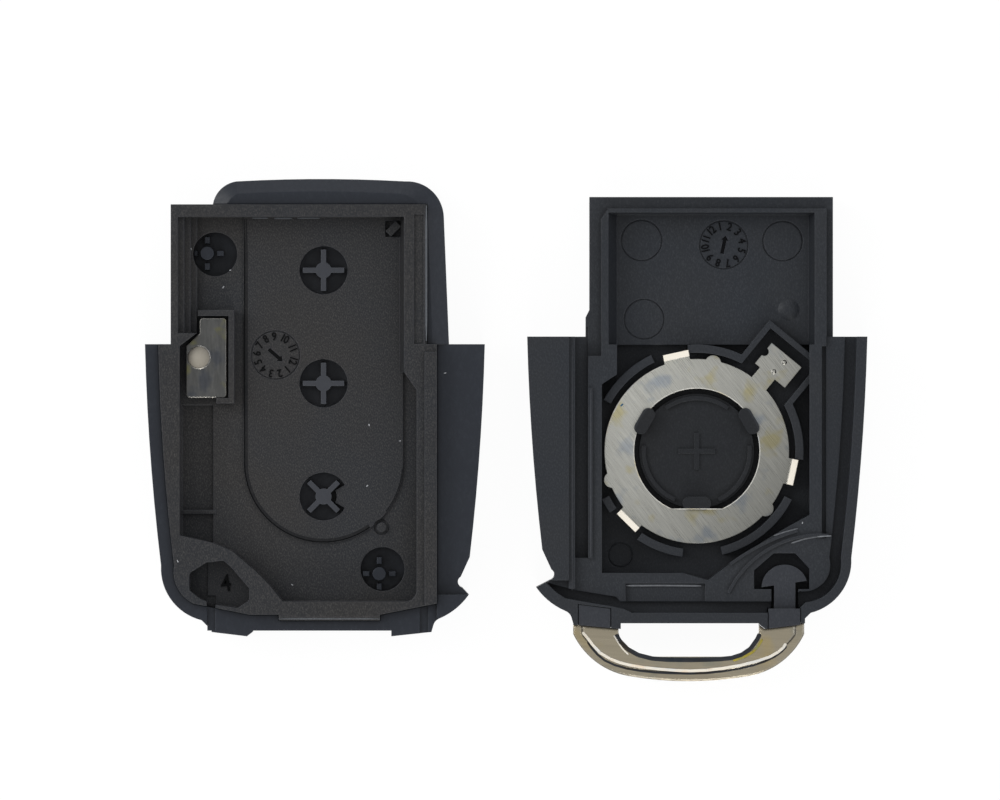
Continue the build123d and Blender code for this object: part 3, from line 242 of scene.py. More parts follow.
@dataclass(frozen=True)
class MouldedPlastic:
    """Injection moulded plastic with a matt skin that takes after the tool.

    Fine light needles of glass fibre lie in the skin, edges are a little rounded and made paler, partly as wear
    and partly as a painted highlight, inner corners are darkened by painted shade, and the surface is slightly
    uneven, so that light breaks up on it. Inside a circle, given by its middle and radius in millimetres, the
    plastic is darker as painted shade of a deep well, apart from the outer face, which lies below the skin height.
    """

    name: str
    colour: str
    cloud_colour: str
    fibre_colour: str
    fibre_amount: float
    grain: float
    roughness: float
    # Colour and share of paler edges: partly wear, partly a painted highlight
    edge_colour: str
    relief: float = 0.10
    edge_round: float = 0.03
    edge_amount: float = 0.15
    cloud: float = 9.0
    shine: float = 0.25
    # Share of painted shade in inner corners, and how far it reaches from them, in mm
    dirt: float = 0.45
    dirt_reach: float = 0.6
    # Painted shade of a deep well: middle and radius of its circle in mm, its tone and its soft rim
    insert: tuple[float, float, float] = (0.0, 0.0, 0.0)
    insert_tone: float = 0.55
    insert_blur: float = 0.1
    skin: float = 0.8
    roughness_spread: float = 0.07
    relief_depth: float = 0.02

    def material(self) -> bpy.types.Material:
        """Build the node material.

        Returns:
            The finished material.
        """
        material, tree, output = new_material(self.name)
        place = add_node(tree, "ShaderNodeTexCoord").outputs["Object"]
        grain = noise(tree, place, self.grain, 3.0, 0.62)
        body = add_node(tree, "ShaderNodeMix",
                        {"data_type": "RGBA", 6: linear(self.colour), 7: linear(self.cloud_colour)},
                        {0: noise(tree, place, self.cloud, 2.0)}).outputs[2]
        lay = add_node(tree, "ShaderNodeMapping", {"Rotation": (0.0, 0.0, 0.5), "Scale": (1.0, 0.55, 1.0)},
                       {"Vector": place}).outputs["Vector"]
        needles = remap(tree, noise(tree, lay, self.grain, 2.0, 0.7), (0.46, 0.74), (0.0, self.fibre_amount))
        flecked = blend(tree, needles, body, self.fibre_colour)
        # Edges paler: partly wear and partly a painted highlight
        normal, edge = worn_edges(tree, self.edge_round, 0.78, self.edge_amount)
        rubbed = blend(tree, edge, flecked, self.edge_colour)
        # Painted shade: inner corners darker, by how open each point is
        shaded_by_corners = inner_corners(tree, 4, self.dirt_reach, (0.45, 0.92), self.dirt)
        # Painted shade of the deep well: darker inside the circle, not on the outer face below the skin height
        x, y, radius = (value * MM for value in self.insert)
        around = add_node(tree, "ShaderNodeMapping", {"Location": (-x, -y, 0.0), "Scale": (1.0, 1.0, 0.0)},
                          {"Vector": place}).outputs["Vector"]
        away = add_node(tree, "ShaderNodeVectorMath", {"operation": "LENGTH"}, {0: around}).outputs["Value"]
        polished = remap(tree, away, (radius, radius + self.insert_blur * MM), (self.insert_tone, 1.0))
        height = add_node(tree, "ShaderNodeSeparateXYZ", None, {"Vector": place}).outputs["Z"]
        outside = maths(tree, "LESS_THAN", height, self.skin * MM)
        tone = maths(tree, "MULTIPLY", shaded_by_corners, maths(tree, "MAXIMUM", polished, outside))
        rough = remap(tree, grain, (0.3, 0.7),
                      (self.roughness - self.roughness_spread, self.roughness + self.roughness_spread))
        bump = add_node(tree, "ShaderNodeBump", {"Strength": self.relief, "Distance": self.relief_depth * MM},
                        {"Height": grain, "Normal": normal}).outputs["Normal"]
        plastic = add_node(tree, "ShaderNodeBsdfPrincipled", {"IOR": 1.53, "Specular IOR Level": self.shine},
                           {"Base Color": scaled(tree, rubbed, tone), "Roughness": rough, "Normal": bump})
        tree.links.new(plastic.outputs["BSDF"], output.inputs["Surface"])
        return material


@dataclass(frozen=True)
class PlatedMetal:
    """Sheet or cast metal under a thin plating, ground or polished along one direction.

    The brushing draws fine streaks along one way, the plating varies a little between a warm and a cool tone,
    painted shade darkens the inner corners, and the edges are rounded by stamping or polishing and made paler,
    partly as wear and partly as a painted highlight. Above the highlight height, in millimetres, a painted highlight
    turns the metal pale and dull, so that it scatters light more than it mirrors. The painted sheen has a middle,
    in millimetres, and an amount by which it makes the metal lighter towards the upper left of the middle and
    darker towards the lower right.
    """

    name: str
    colour: str
    warm_colour: str
    cool_colour: str
    tint_size: float
    roughness: float
    brush_contrast: float
    brush_turn: float = 4.0
    brush_width: float = 0.25
    brush_length: float = 4.0
    relief: float = 0.25
    edge_round: float = 0.03
    # Share of painted shade in inner corners, and how far it reaches, in mm
    grime: float = 0.0
    grime_reach: float = 0.35
    # Painted highlight: height above which the metal turns pale and dull, in mm, its colour, dullness and scatter
    rub_height: float = 100.0
    rub_colour: str = "#FBF4E6"
    rub_dullness: float = 0.4
    rub_scatter: float = 0.7
    # Colour and share of paler edges: partly wear, partly a painted highlight
    edge_colour: str = "#FFFAF0"
    edge_amount: float = 0.3
    # Painted sheen: its middle in mm, and how much lighter and darker it makes the metal on either side
    fade: tuple[float, float, float] = (0.0, 0.0, 0.0)
    relief_depth: float = 0.01

    def material(self) -> bpy.types.Material:
        """Build the node material.

        Returns:
            The finished material.
        """
        material, tree, output = new_material(self.name)
        place = add_node(tree, "ShaderNodeTexCoord").outputs["Object"]
        along = add_node(tree, "ShaderNodeMapping", {"Rotation": (0.0, 0.0, math.radians(self.brush_turn))},
                         {"Vector": place}).outputs["Vector"]
        fine = 1000 / self.brush_width
        lay = add_node(tree, "ShaderNodeMapping", {"Scale": (1000 / self.brush_length, fine, fine)},
                       {"Vector": along}).outputs["Vector"]
        streaks = add_node(tree, "ShaderNodeTexNoise", {"Scale": 1.0, "Detail": 3.0, "Roughness": 0.65},
                           {"Vector": lay}).outputs["Fac"]
        tint = add_node(tree, "ShaderNodeValToRGB",
                        {"stops": [(0.33, linear(self.cool_colour)), (0.44, linear(self.colour)),
                                   (0.57, linear(self.colour)), (0.68, linear(self.warm_colour))]},
                        {"Fac": noise(tree, place, self.tint_size, 3.0)}).outputs["Color"]
        shade = remap(tree, streaks, (0.3, 0.7), (1.0 - self.brush_contrast, 1.0 + self.brush_contrast / 3))
        # Painted sheen: lighter towards the upper left of the middle, darker towards the lower right
        x, y, sheen_loss = self.fade
        across = add_node(tree, "ShaderNodeVectorMath", {"operation": "DOT_PRODUCT", 1: SHEEN_WAY}, {0: place})
        middle = (SHEEN_WAY[0] * x + SHEEN_WAY[1] * y) * MM
        painted_sheen = remap(tree, across.outputs["Value"], (middle - SHEEN_REACH * MM, middle + SHEEN_REACH * MM),
                        (1.0 + sheen_loss / 2, 1.0 - sheen_loss / 2))
        brushed = scaled(tree, tint, maths(tree, "MULTIPLY", shade, painted_sheen))
        # Edges paler: partly wear and partly a painted highlight
        normal, edge = worn_edges(tree, self.edge_round, 0.80, self.edge_amount)
        worn = blend(tree, edge, brushed, self.edge_colour)
        # Painted highlight: above the highlight height the colour is pale, the metal dull and scattering
        height = add_node(tree, "ShaderNodeSeparateXYZ", None, {"Vector": place}).outputs["Z"]
        rubbed = maths(tree, "GREATER_THAN", height, self.rub_height * MM)
        bright = blend(tree, rubbed, worn, self.rub_colour)
        # Painted shade: inner corners darker
        groove_factor = inner_corners(tree, 8, self.grime_reach, (0.60, 0.86), self.grime)
        rough = remap(tree, streaks, (0.3, 0.7), (self.roughness - 0.06, self.roughness + 0.08))
        dull = maths(tree, "MULTIPLY_ADD", rubbed, self.rub_dullness, rough)
        mirror = maths(tree, "MULTIPLY_ADD", rubbed, -self.rub_scatter, 1.0)
        bump = add_node(tree, "ShaderNodeBump", {"Strength": self.relief, "Distance": self.relief_depth * MM},
                        {"Height": streaks, "Normal": normal}).outputs["Normal"]
        metal = add_node(tree, "ShaderNodeBsdfPrincipled", None,
                         {"Base Color": scaled(tree, bright, groove_factor), "Roughness": dull, "Metallic": mirror,
                          "Normal": bump})
        tree.links.new(metal.outputs["BSDF"], output.inputs["Surface"])
        return material


@dataclass(frozen=True)
class TableTop:
    """Smooth white photographer's board, which the camera sees white with only a faint shadow on it."""

    name: str = "white_board"
    colour: str = "#F4F4F4"
    tooth: float = 0.6
    glow: float = 1.03
    veil: float = 0.92

    def material(self) -> bpy.types.Material:
        """Build the node material.

        Returns:
            The finished material.
        """
        material, tree, output = new_material(self.name)
        place = add_node(tree, "ShaderNodeTexCoord").outputs["Object"]
        rough = remap(tree, noise(tree, place, self.tooth, 2.0), (0.0, 1.0), (0.75, 0.9))
        board = add_node(tree, "ShaderNodeBsdfPrincipled", {"Base Color": linear(self.colour)},
                         {"Roughness": rough})
        white = add_node(tree, "ShaderNodeEmission", {"Color": (1.0, 1.0, 1.0, 1.0), "Strength": self.glow})
        rays = add_node(tree, "ShaderNodeLightPath").outputs
        seen = maths(tree, "MAXIMUM", rays["Is Camera Ray"], rays["Is Glossy Ray"])
        seen = maths(tree, "MAXIMUM", seen, rays["Is Transmission Ray"])
        mix = add_node(tree, "ShaderNodeMixShader", None,
                       {0: maths(tree, "MULTIPLY", seen, self.veil), 1: board.outputs["BSDF"],
                        2: white.outputs["Emission"]})
        tree.links.new(mix.outputs["Shader"], output.inputs["Surface"])
        return material


FINISHES = {
    # PA6 with glass fibre, moulded on a spark-eroded tool: matt charcoal with fine pale needles in the skin,
    # a little brown in some places and a little blue in others
    Spot.TRAY: MouldedPlastic("glass_filled_nylon_tray", "#20252C", "#2C2926", "#716E6A", fibre_amount=0.27,
                              grain=0.11, roughness=0.52, relief=0.45, edge_round=0.14, edge_colour="#62646A",
                              edge_amount=0.40, cloud=12.0, dirt=0.25),
    # ABS moulded on a polished tool: smoother, darker and a little blue
    Spot.COVER: MouldedPlastic("polished_abs_cover", "#23262D", "#282C33", "#4A5058", fibre_amount=0.10, grain=0.34,
                               roughness=0.40, relief=0.20, edge_round=0.14, edge_colour="#565C65", edge_amount=0.40,
                               shine=0.28),
    # PA6 with glass fibre, moulded on a finer tool: matt charcoal, cooler and more even than the tray, and
    # darker under the cell, as painted shade of the deep well there
    Spot.CASE: MouldedPlastic("glass_filled_nylon_case", "#22272E", "#2B2C2E", "#63666B", fibre_amount=0.14,
                              grain=0.15, roughness=0.48, relief=0.40, edge_round=0.13, edge_colour="#575B61",
                              edge_amount=0.40, dirt=0.3, insert=(20.25, -2.22, 6.85)),
    # The same nylon in small blocks, a shade lighter
    Spot.FOOT: MouldedPlastic("glass_filled_nylon_foot", "#2C2F35", "#33353A", "#6B6E73", fibre_amount=0.12,
                              grain=0.16, roughness=0.50, relief=0.30, edge_round=0.12, edge_colour="#5C5F64",
                              edge_amount=0.35),
    # Soft-touch ABS of the buttons, even and satin
    Spot.BUTTON: MouldedPlastic("satin_abs_button", "#37393E", "#3C3E43", "#5E6269", fibre_amount=0.06, grain=0.34,
                                roughness=0.42, relief=0.15, edge_round=0.12, edge_colour="#686C73", edge_amount=0.45,
                                dirt=0.5),
    # Spring steel strip, punched and nickel plated: brushed slantwise, paler at one side by a painted sheen, with a
    # few faint yellow and blue tints, and tabs made pale by a painted highlight
    Spot.CONTACT: PlatedMetal("brushed_nickel_contact", "#CAC9C0", "#C7BF9A", "#AEB3B6", tint_size=3.4, roughness=0.30,
                              brush_turn=52.0, brush_width=0.10, brush_length=3.6, brush_contrast=0.26, relief=0.5,
                              edge_round=0.09, rub_height=4.95, edge_amount=0.7, fade=(20.25, -2.22, 0.75)),
    # Cast zinc, polished and nickel plated: bright, warm, with long soft polishing marks and painted shade in its
    # inner corners
    Spot.LOOP: PlatedMetal("polished_nickel_loop", "#C0B59D", "#C9B88F", "#AAA898", tint_size=6.0, roughness=0.20,
                           brush_length=9.0, brush_contrast=0.08, edge_round=0.40, grime=0.90, edge_amount=0.4),
    # Cold rolled steel plate, tumbled after pressing: grey and dull with faint yellow passivation, and a dome
    # that a painted highlight makes pale
    Spot.PLATE: PlatedMetal("tumbled_steel_plate", "#696967", "#7C7A58", "#585A5E", tint_size=3.0, roughness=0.36,
                            brush_turn=86.0, brush_width=0.30, brush_length=1.4, brush_contrast=0.16, relief=0.5,
                            edge_round=0.16, rub_height=5.6, rub_colour="#A09A8E", edge_amount=0.9),
}

DARK_PAINTS = {
    # Painted shade on the same plastics, near-black and without needles: a painted dark reflection on the stamped
    # numbers, and painted shade in the arrow groove and along the edge of the button floor
    Spot.TRAY: MouldedPlastic("painted_dark_tray", "#08090A", "#0C0D0E", "#141518", fibre_amount=0.05, grain=0.30,
                              roughness=0.35, edge_colour="#17181B", shine=0.08),
    Spot.CASE: MouldedPlastic("painted_dark_case", "#07080A", "#0B0C0E", "#121316", fibre_amount=0.05, grain=0.30,
                              roughness=0.35, edge_colour="#141519", shine=0.08),
    # Painted shade in the groove of the loop, and a painted dark reflection along its inner edge
    Spot.LOOP: PlatedMetal("painted_dark_loop", "#45474B", "#47423C", "#3A4046", tint_size=3.0, roughness=0.40,
                           brush_contrast=0.20, edge_amount=0.0),
}

GLINTS = {
    # Painted highlights along the edges of the same plastics: thin pale satin lines
    Spot.TRAY: MouldedPlastic("painted_highlight_tray", "#4E5156", "#5A5D61", "#7C7F83", fibre_amount=0.30, grain=0.25,
                              roughness=0.34, edge_colour="#6A6D72", dirt=0.0),
    Spot.CASE: MouldedPlastic("painted_highlight_case", "#5E6064", "#74777B", "#9A9CA0", fibre_amount=0.40, grain=0.25,
                              roughness=0.34, edge_colour="#85888C", dirt=0.0),
    # Painted highlight along a ridge or a cut edge of the plating: nearly white
    Spot.LOOP: PlatedMetal("painted_highlight_loop", "#FFF9EC", "#FFECD2", "#F8F6F0", tint_size=2.0, roughness=0.66,
                           brush_contrast=0.06, edge_amount=0.0),
    # Painted highlight on the punched edges of the contact nickel
    Spot.CONTACT: PlatedMetal("painted_highlight_contact", "#E8E6DE", "#E2D8BC", "#D5DADC", tint_size=3.0, roughness=0.55,
                              brush_turn=52.0, brush_width=0.20, brush_length=2.0, brush_contrast=0.20,
                              edge_round=0.02, edge_amount=0.0),
    # Shavings of the same nylon, which stress has turned white
    Spot.FOOT: MouldedPlastic("shavings_of_nylon", "#A4A6AA", "#B6B8BB", "#D0D1D3", fibre_amount=0.30, grain=0.20,
                              roughness=0.55, edge_colour="#B6B8BB", dirt=0.0),
}

SOFT_LIGHTS_AND_SHADES = {
    # Painted shade on the same plastic along the rounded edge of the button floor: a shade darker
    Spot.TRAY: MouldedPlastic("painted_shade_band_tray", "#17191D", "#1B1A1A", "#4A4846", fibre_amount=0.20, grain=0.15,
                              roughness=0.45, relief=0.20, edge_colour="#26282B", shine=0.18, dirt=0.0),
    # Painted dull highlights along the walls of the same plastic: a dull grey line
    Spot.CASE: MouldedPlastic("painted_dull_highlight_case", "#35383D", "#3D3F43", "#5C5F64", fibre_amount=0.25, grain=0.25,
                              roughness=0.40, edge_colour="#4E5156", dirt=0.0),
}

TINTS = {
    # Painted yellow reflection along the inner corner of the nickel
    Spot.LOOP: PlatedMetal("painted_reflection_loop", "#C6B655", "#D2BC4A", "#AFAE78", tint_size=1.5, roughness=0.40,
                           brush_contrast=0.12, edge_amount=0.0),
    # Marker ink of an inspector, dried on the nickel: a small matt blue dot
    Spot.CONTACT: MouldedPlastic("dried_marker_ink", "#0A5C8C", "#0C6A9C", "#2F8FBF", fibre_amount=0.20, grain=0.20,
                                 roughness=0.60, edge_round=0.02, edge_colour="#2F8FBF", edge_amount=0.10, dirt=0.0),
}

SKINS = {Skin.PLAIN: FINISHES, Skin.MARK: DARK_PAINTS, Skin.GLINT: GLINTS, Skin.RUB: SOFT_LIGHTS_AND_SHADES, Skin.TINT: TINTS}


def only(piece: bpy.types.Object) -> None:
    """Select one object and nothing else, and make it the active one."""
    bpy.ops.object.select_all(action="DESELECT")
    piece.select_set(True)
    bpy.context.view_layer.objects.active = piece


def settle(piece: bpy.types.Object) -> None:
    """Bring an object's place, turn and size into its mesh."""
    only(piece)
    bpy.ops.object.transform_apply(location=True, rotation=True, scale=True)


def join(pieces: list[bpy.types.Object]) -> bpy.types.Object:
    """Settle pieces and join them.

    Args:
        pieces: Mesh objects, at least one.

    Returns:
        The first of them, which holds all.
    """
    for piece in pieces:
        settle(piece)
    only(pieces[0])
    for piece in pieces[1:]:
        piece.select_set(True)
    if len(pieces) > 1:
        bpy.ops.object.join()
    return pieces[0]


def dress(piece: bpy.types.Object, material: bpy.types.Material) -> None:
    """Give every slot of a piece one material.

    Args:
        piece: A CAD node or a new piece.
        material: Its finish.
    """
    if not piece.material_slots:
        piece.data.materials.append(material)
    for slot in piece.material_slots:
        slot.material = material


def top_at(nodes: dict[str, bpy.types.Object], x: float, y: float) -> float:
    """Find how high the object stands at a place.

    Args:
        nodes: CAD nodes by name.
        x: Place along the width, in metres.
        y: Place along the depth, in metres.

    Returns:
        Height of the highest surface there, or zero beside the object.
    """
    start = Vector((x, y, ABOVE))
    heights = [0.0]
    for node in nodes.values():
        hit, point, _, _ = node.ray_cast(start, Vector((0.0, 0.0, -1.0)))
        if hit:
            heights.append(point.z)
    return max(heights)


@dataclass
class Workshop:
    """What the sub-assemblies share: the CAD nodes and the finishes."""

    nodes: dict[str, bpy.types.Object]
    materials: dict[tuple[Spot, Skin], bpy.types.Material] = field(default_factory=dict)

    def finish(self, spot: Spot, skin: Skin = Skin.PLAIN) -> bpy.types.Material:
        """Return the material of a finish, built when it is first asked for.

        Args:
            spot: Kind of finish that it belongs to.
            skin: Kind of surface.

        Returns:
            The material.
        """
        if (spot, skin) not in self.materials:
            self.materials[spot, skin] = SKINS[skin][spot].material()
        return self.materials[spot, skin]

    def top_of(self, name: str, x: float, y: float) -> float:
        """Return how high one CAD node stands at a place, all in metres."""
        return top_at({name: self.nodes[name]}, x, y)

    def dress_node(self, name: str, spot: Spot) -> None:
        """Give a CAD node its finish.

        Args:
            name: Name of the node.
            spot: Finish that it gets.
        """
        dress(self.nodes[name], self.finish(spot))
        log.info("%s is dressed as %s", name, spot.value)

    def add(self, piece: bpy.types.Object, name: str, spot: Spot, skin: Skin = Skin.PLAIN) -> None:
        """Name, settle and dress a new piece, and let it ride on the shell.

        Args:
            piece: The finished mesh object.
            name: Its name.
            spot: Finish that it gets.
            skin: Kind of surface that it shows.
        """
        settle(piece)
        piece.name = name
        piece.data.name = name
        dress(piece, self.finish(spot, skin))
        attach(piece, SHELL)
        log.info("%s has %d faces", name, len(piece.data.polygons))


@dataclass
class Numerals:
    """Raised plain numbers, as an engraved tool leaves them in the plastic."""

    size: float = 1.20 * MM
    weight: float = 0.016 * MM
    squeeze: float = 0.86
    spacing: float = 0.82
    rise: float = 0.07 * MM
    sink: float = 0.03 * MM

    def number(self, value: int, x: float, y: float, base: float, turn: float) -> bpy.types.Object:
        """Make one number as a mesh.

        Args:
            value: Number to show.
            x: Place along the width, in metres.
            y: Place along the depth, in metres.
            base: Height of the face that it stands on.
            turn: Turn about the upright axis, in radians.

        Returns:
            The mesh object, not settled yet.
        """
        middle = base + (self.rise - self.sink) / 2
        bpy.ops.object.select_all(action="DESELECT")
        bpy.ops.object.text_add(location=(x, y, middle), rotation=(0.0, 0.0, turn))
        text = bpy.context.active_object
        text.data.body = str(value)
        text.data.size = self.size
        text.data.align_x = "CENTER"
        text.data.align_y = "CENTER"
        text.data.extrude = (self.rise + self.sink) / 2
        text.data.offset = self.weight
        text.data.space_character = self.spacing
        text.data.resolution_u = 3
        text.scale = (self.squeeze, 1.0, 1.0)
        only(text)
        bpy.ops.object.convert(target="MESH")
        return bpy.context.active_object

    def ring(self, centre: tuple[float, float], base: float, radius: float, first: float,
             room: tuple[float, float]) -> bpy.types.Object:
        """Make the numbers one to twelve round a date dial.

        Args:
            centre: Middle of the dial, in metres.
            base: Height of the face that it stands on.
            radius: Radius on which the numbers stand.
            first: Angle at which number one stands, in degrees.
            room: Angle that a number of one digit takes, and one of two digits, in degrees.

        Returns:
            One mesh object with all twelve numbers.
        """
        numbers = []
        turned = first + room[0] / 2
        for value in range(1, 13):
            width = room[value > 9]
            angle = math.radians(turned - width / 2)
            turned -= width
            x = centre[0] + radius * math.cos(angle)
            y = centre[1] + radius * math.sin(angle)
            numbers.append(self.number(value, x, y, base, angle - math.pi / 2))
        return join(numbers)


def pick(piece: bpy.types.Object, rule: Callable[[Vector], bool]) -> None:
    """Go to edit mode with the vertices selected whose place meets a rule, and no others."""
    bpy.ops.object.mode_set(mode="OBJECT")
    for vertex in piece.data.vertices:
        vertex.select = rule(vertex.co)
    for part in (*piece.data.edges, *piece.data.polygons):
        part.select = all(piece.data.vertices[number].select for number in part.vertices)
    bpy.ops.object.mode_set(mode="EDIT")


@dataclass
class DialArrow:
    """Near-black arrow of painted shade that lies in the groove in the middle of a date dial."""

    shaft_width: float = 0.34 * MM
    tail: float = -0.93 * MM
    shoulder: float = 0.51 * MM
    tip: float = 0.96 * MM
    head_share: float = 2.1
    head_step: float = 0.01 * MM
    tip_share: float = 0.03
    low: float = -0.11 * MM
    thick: float = 0.09 * MM

    def build(self, centre: tuple[float, float], base: float, turn: float) -> bpy.types.Object:
        """Model the arrow.

        Args:
            centre: Middle of the dial, in metres.
            base: Height of the face round the dial.
            turn: Turn of the arrow from straight up, in degrees.

        Returns:
            The mesh object, not settled yet.
        """
        length = self.shoulder - self.tail
        bpy.ops.object.select_all(action="DESELECT")
        bpy.ops.mesh.primitive_plane_add(size=1.0)
        piece = bpy.context.active_object
        bpy.ops.object.mode_set(mode="EDIT")
        bpy.ops.mesh.select_mode(type="VERT")
        bpy.ops.mesh.select_all(action="SELECT")
        bpy.ops.transform.resize(value=(self.shaft_width, length, 1.0))
        bpy.ops.transform.translate(value=(0.0, (self.shoulder + self.tail) / 2, 0.0))
        pick(piece, lambda place: place.y > 0)
        bpy.ops.mesh.extrude_region_move(TRANSFORM_OT_translate={"value": (0.0, self.head_step, 0.0)})
        bpy.ops.transform.resize(value=(self.head_share, 1.0, 1.0))
        bpy.ops.mesh.extrude_region_move(TRANSFORM_OT_translate={"value": (0.0, self.tip - self.shoulder, 0.0)})
        bpy.ops.transform.resize(value=(self.tip_share, 1.0, 1.0))
        bpy.ops.mesh.select_all(action="SELECT")
        bpy.ops.mesh.extrude_region_move(TRANSFORM_OT_translate={"value": (0.0, 0.0, self.thick)})
        bpy.ops.mesh.select_all(action="SELECT")
        bpy.ops.mesh.normals_make_consistent(inside=False)
        bpy.ops.object.mode_set(mode="OBJECT")
        piece.location = (*centre, base + self.low)
        piece.rotation_euler = (0.0, 0.0, math.radians(turn))
        return piece


@dataclass
class DateDial:
    """Date dial of a moulding tool: raised numbers from one to twelve round an arrow, both near-black as painted
    shade.
    """

    shop: Workshop
    node: str
    prefix: str
    spot: Spot
    centre: tuple[float, float]
    first: float
    room: tuple[float, float]
    arrow_turn: float
    radius: float = 1.95 * MM
    probe: float = 2.0 * MM

    def build(self) -> None:
        """Model the numbers and the arrow on the face that the dial lies in."""
        base = self.shop.top_of(self.node, self.centre[0] + self.probe, self.centre[1])
        numbers = Numerals().ring(self.centre, base, self.radius, self.first, self.room)
        self.shop.add(numbers, f"{self.prefix}_dial_numbers", self.spot, Skin.MARK)
        arrow = DialArrow().build(self.centre, base, self.arrow_turn)
        self.shop.add(arrow, f"{self.prefix}_dial_arrow", self.spot, Skin.MARK)


@dataclass
class Flecks:
    """Small shavings and specks of moulding that lie on the plastic, as on any part fresh from the tool."""

    nodes: dict[str, bpy.types.Object]
    seed: int = 7
    lift: float = 0.10
    widths: tuple[float, float] = (0.3, 0.5)
    thick: float = 0.2
    unevenness: float = 0.06
    rounding: float = 0.03

    def shaving(self, x: float, y: float, length: float, turn: float, chance: random.Random) -> bpy.types.Object:
        """Model one flat, bent shaving on the surface below a place.

        Args:
            x: Place along the width, in metres.
            y: Place along the depth, in metres.
            length: Its length, in metres.
            turn: Its turn about the upright axis, in radians.
            chance: Seeded source of its unevenness.

        Returns:
            The mesh object.
        """
        height = top_at(self.nodes, x, y) + length * self.lift
        bpy.ops.object.select_all(action="DESELECT")
        bpy.ops.mesh.primitive_cube_add(size=length, location=(x, y, height), rotation=(0.0, 0.0, turn))
        piece = bpy.context.active_object
        bpy.ops.object.mode_set(mode="EDIT")
        bpy.ops.mesh.select_all(action="SELECT")
        bpy.ops.transform.resize(value=(1.0, chance.uniform(*self.widths), self.thick), orient_type="LOCAL")
        bpy.ops.mesh.subdivide(number_cuts=2)
        bpy.ops.transform.vertex_random(offset=length * self.unevenness, seed=chance.randrange(1, 9999))
        bpy.ops.mesh.bevel(offset=length * self.rounding, segments=1)
        bpy.ops.object.mode_set(mode="OBJECT")
        return piece

    def scatter(self, places: list[tuple[float, float, float]]) -> bpy.types.Object:
        """Lay a shaving at each place.

        Args:
            places: Width, depth and length of each, in millimetres.

        Returns:
            One mesh object with all of them.
        """
        chance = random.Random(self.seed)
        return join([self.shaving(x * MM, y * MM, length * MM, chance.uniform(0, math.pi), chance)
                     for x, y, length in places])


# Points of a line and its width, in millimetres
Path = tuple[list[tuple[float, float]], float]


def circle(centre: tuple[float, float], radius: float, first: float, last: float,
           count: int) -> list[tuple[float, float]]:
    """Return points along an arc.

    Args:
        centre: Its middle, in millimetres.
        radius: Its radius, in millimetres.
        first: Angle of its first point, in degrees.
        last: Angle of its last point, in degrees.
        count: Number of points.

    Returns:
        The points, in millimetres.
    """
    angles = [math.radians(first + (last - first) * number / (count - 1)) for number in range(count)]
    return [(centre[0] + radius * math.cos(angle), centre[1] + radius * math.sin(angle)) for angle in angles]


@dataclass
class Slivers:
    """Thin flat lines along edges, which carry painted highlights, painted shade and painted reflections."""

    shop: Workshop
    proud: float = 0.02 * MM
    thick: float = 0.05 * MM
    body_share: float = 0.7
    tip_share: float = 0.45

    def height(self, middle: Vector, across: Vector) -> float:
        """Find the height at which a sliver covers what lies under it.

        Args:
            middle: Its middle, in metres.
            across: Half of its width, as a vector.

        Returns:
            Height of its middle plane.
        """
        places = (middle - across, middle, middle + across)
        return max(top_at(self.shop.nodes, place.x, place.y) for place in places) + self.proud - self.thick / 2

    def sliver(self, start: Vector, end: Vector, width: float, joined: tuple[bool, bool]) -> bpy.types.Object:
        """Model one sliver that lies on the highest surface along its way.

        Args:
            start: Its first end, in metres.
            end: Its other end, in metres.
            width: Its width in the middle, in metres.
            joined: Whether each end goes on in the next sliver and so keeps its width.

        Returns:
            The mesh object.
        """
        run = end - start
        middle = (start + end) / 2
        across = Vector((-run.y, run.x)).normalized() * width / 2
        bpy.ops.object.select_all(action="DESELECT")
        bpy.ops.mesh.primitive_cube_add(size=1.0)
        piece = bpy.context.active_object
        bpy.ops.object.mode_set(mode="EDIT")
        bpy.ops.mesh.select_mode(type="VERT")
        bpy.ops.mesh.select_all(action="SELECT")
        bpy.ops.transform.resize(value=(run.length * self.body_share, width, self.thick))
        reach = run.length * (1 - self.body_share) / 2
        for side, goes_on in zip((-1.0, 1.0), joined):
            pick(piece, lambda place, side=side: place.x * side > 0)
            bpy.ops.mesh.extrude_region_move(TRANSFORM_OT_translate={"value": (side * reach, 0.0, 0.0)})
            bpy.ops.transform.resize(value=(1.0, 1.0 if goes_on else self.tip_share, 1.0))
        bpy.ops.object.mode_set(mode="OBJECT")
        piece.location = (middle.x, middle.y, self.height(middle, across))
        piece.rotation_euler = (0.0, 0.0, math.atan2(run.y, run.x))
        return piece

    def lay(self, name: str, spot: Spot, skin: Skin, paths: list[Path]) -> None:
        """Lay slivers along paths and add them as one piece.

        Args:
            name: Name of the piece.
            spot: Finish that it gets.
            skin: Kind of surface that it shows.
            paths: Points and width of each line, in millimetres.
        """
        pieces = []
        for points, width in paths:
            last = len(points) - 2
            for number, (start, end) in enumerate(zip(points, points[1:])):
                pieces.append(self.sliver(Vector(start) * MM, Vector(end) * MM, width * MM,
                                          (number > 0, number < last)))
        self.shop.add(join(pieces), name, spot, skin)


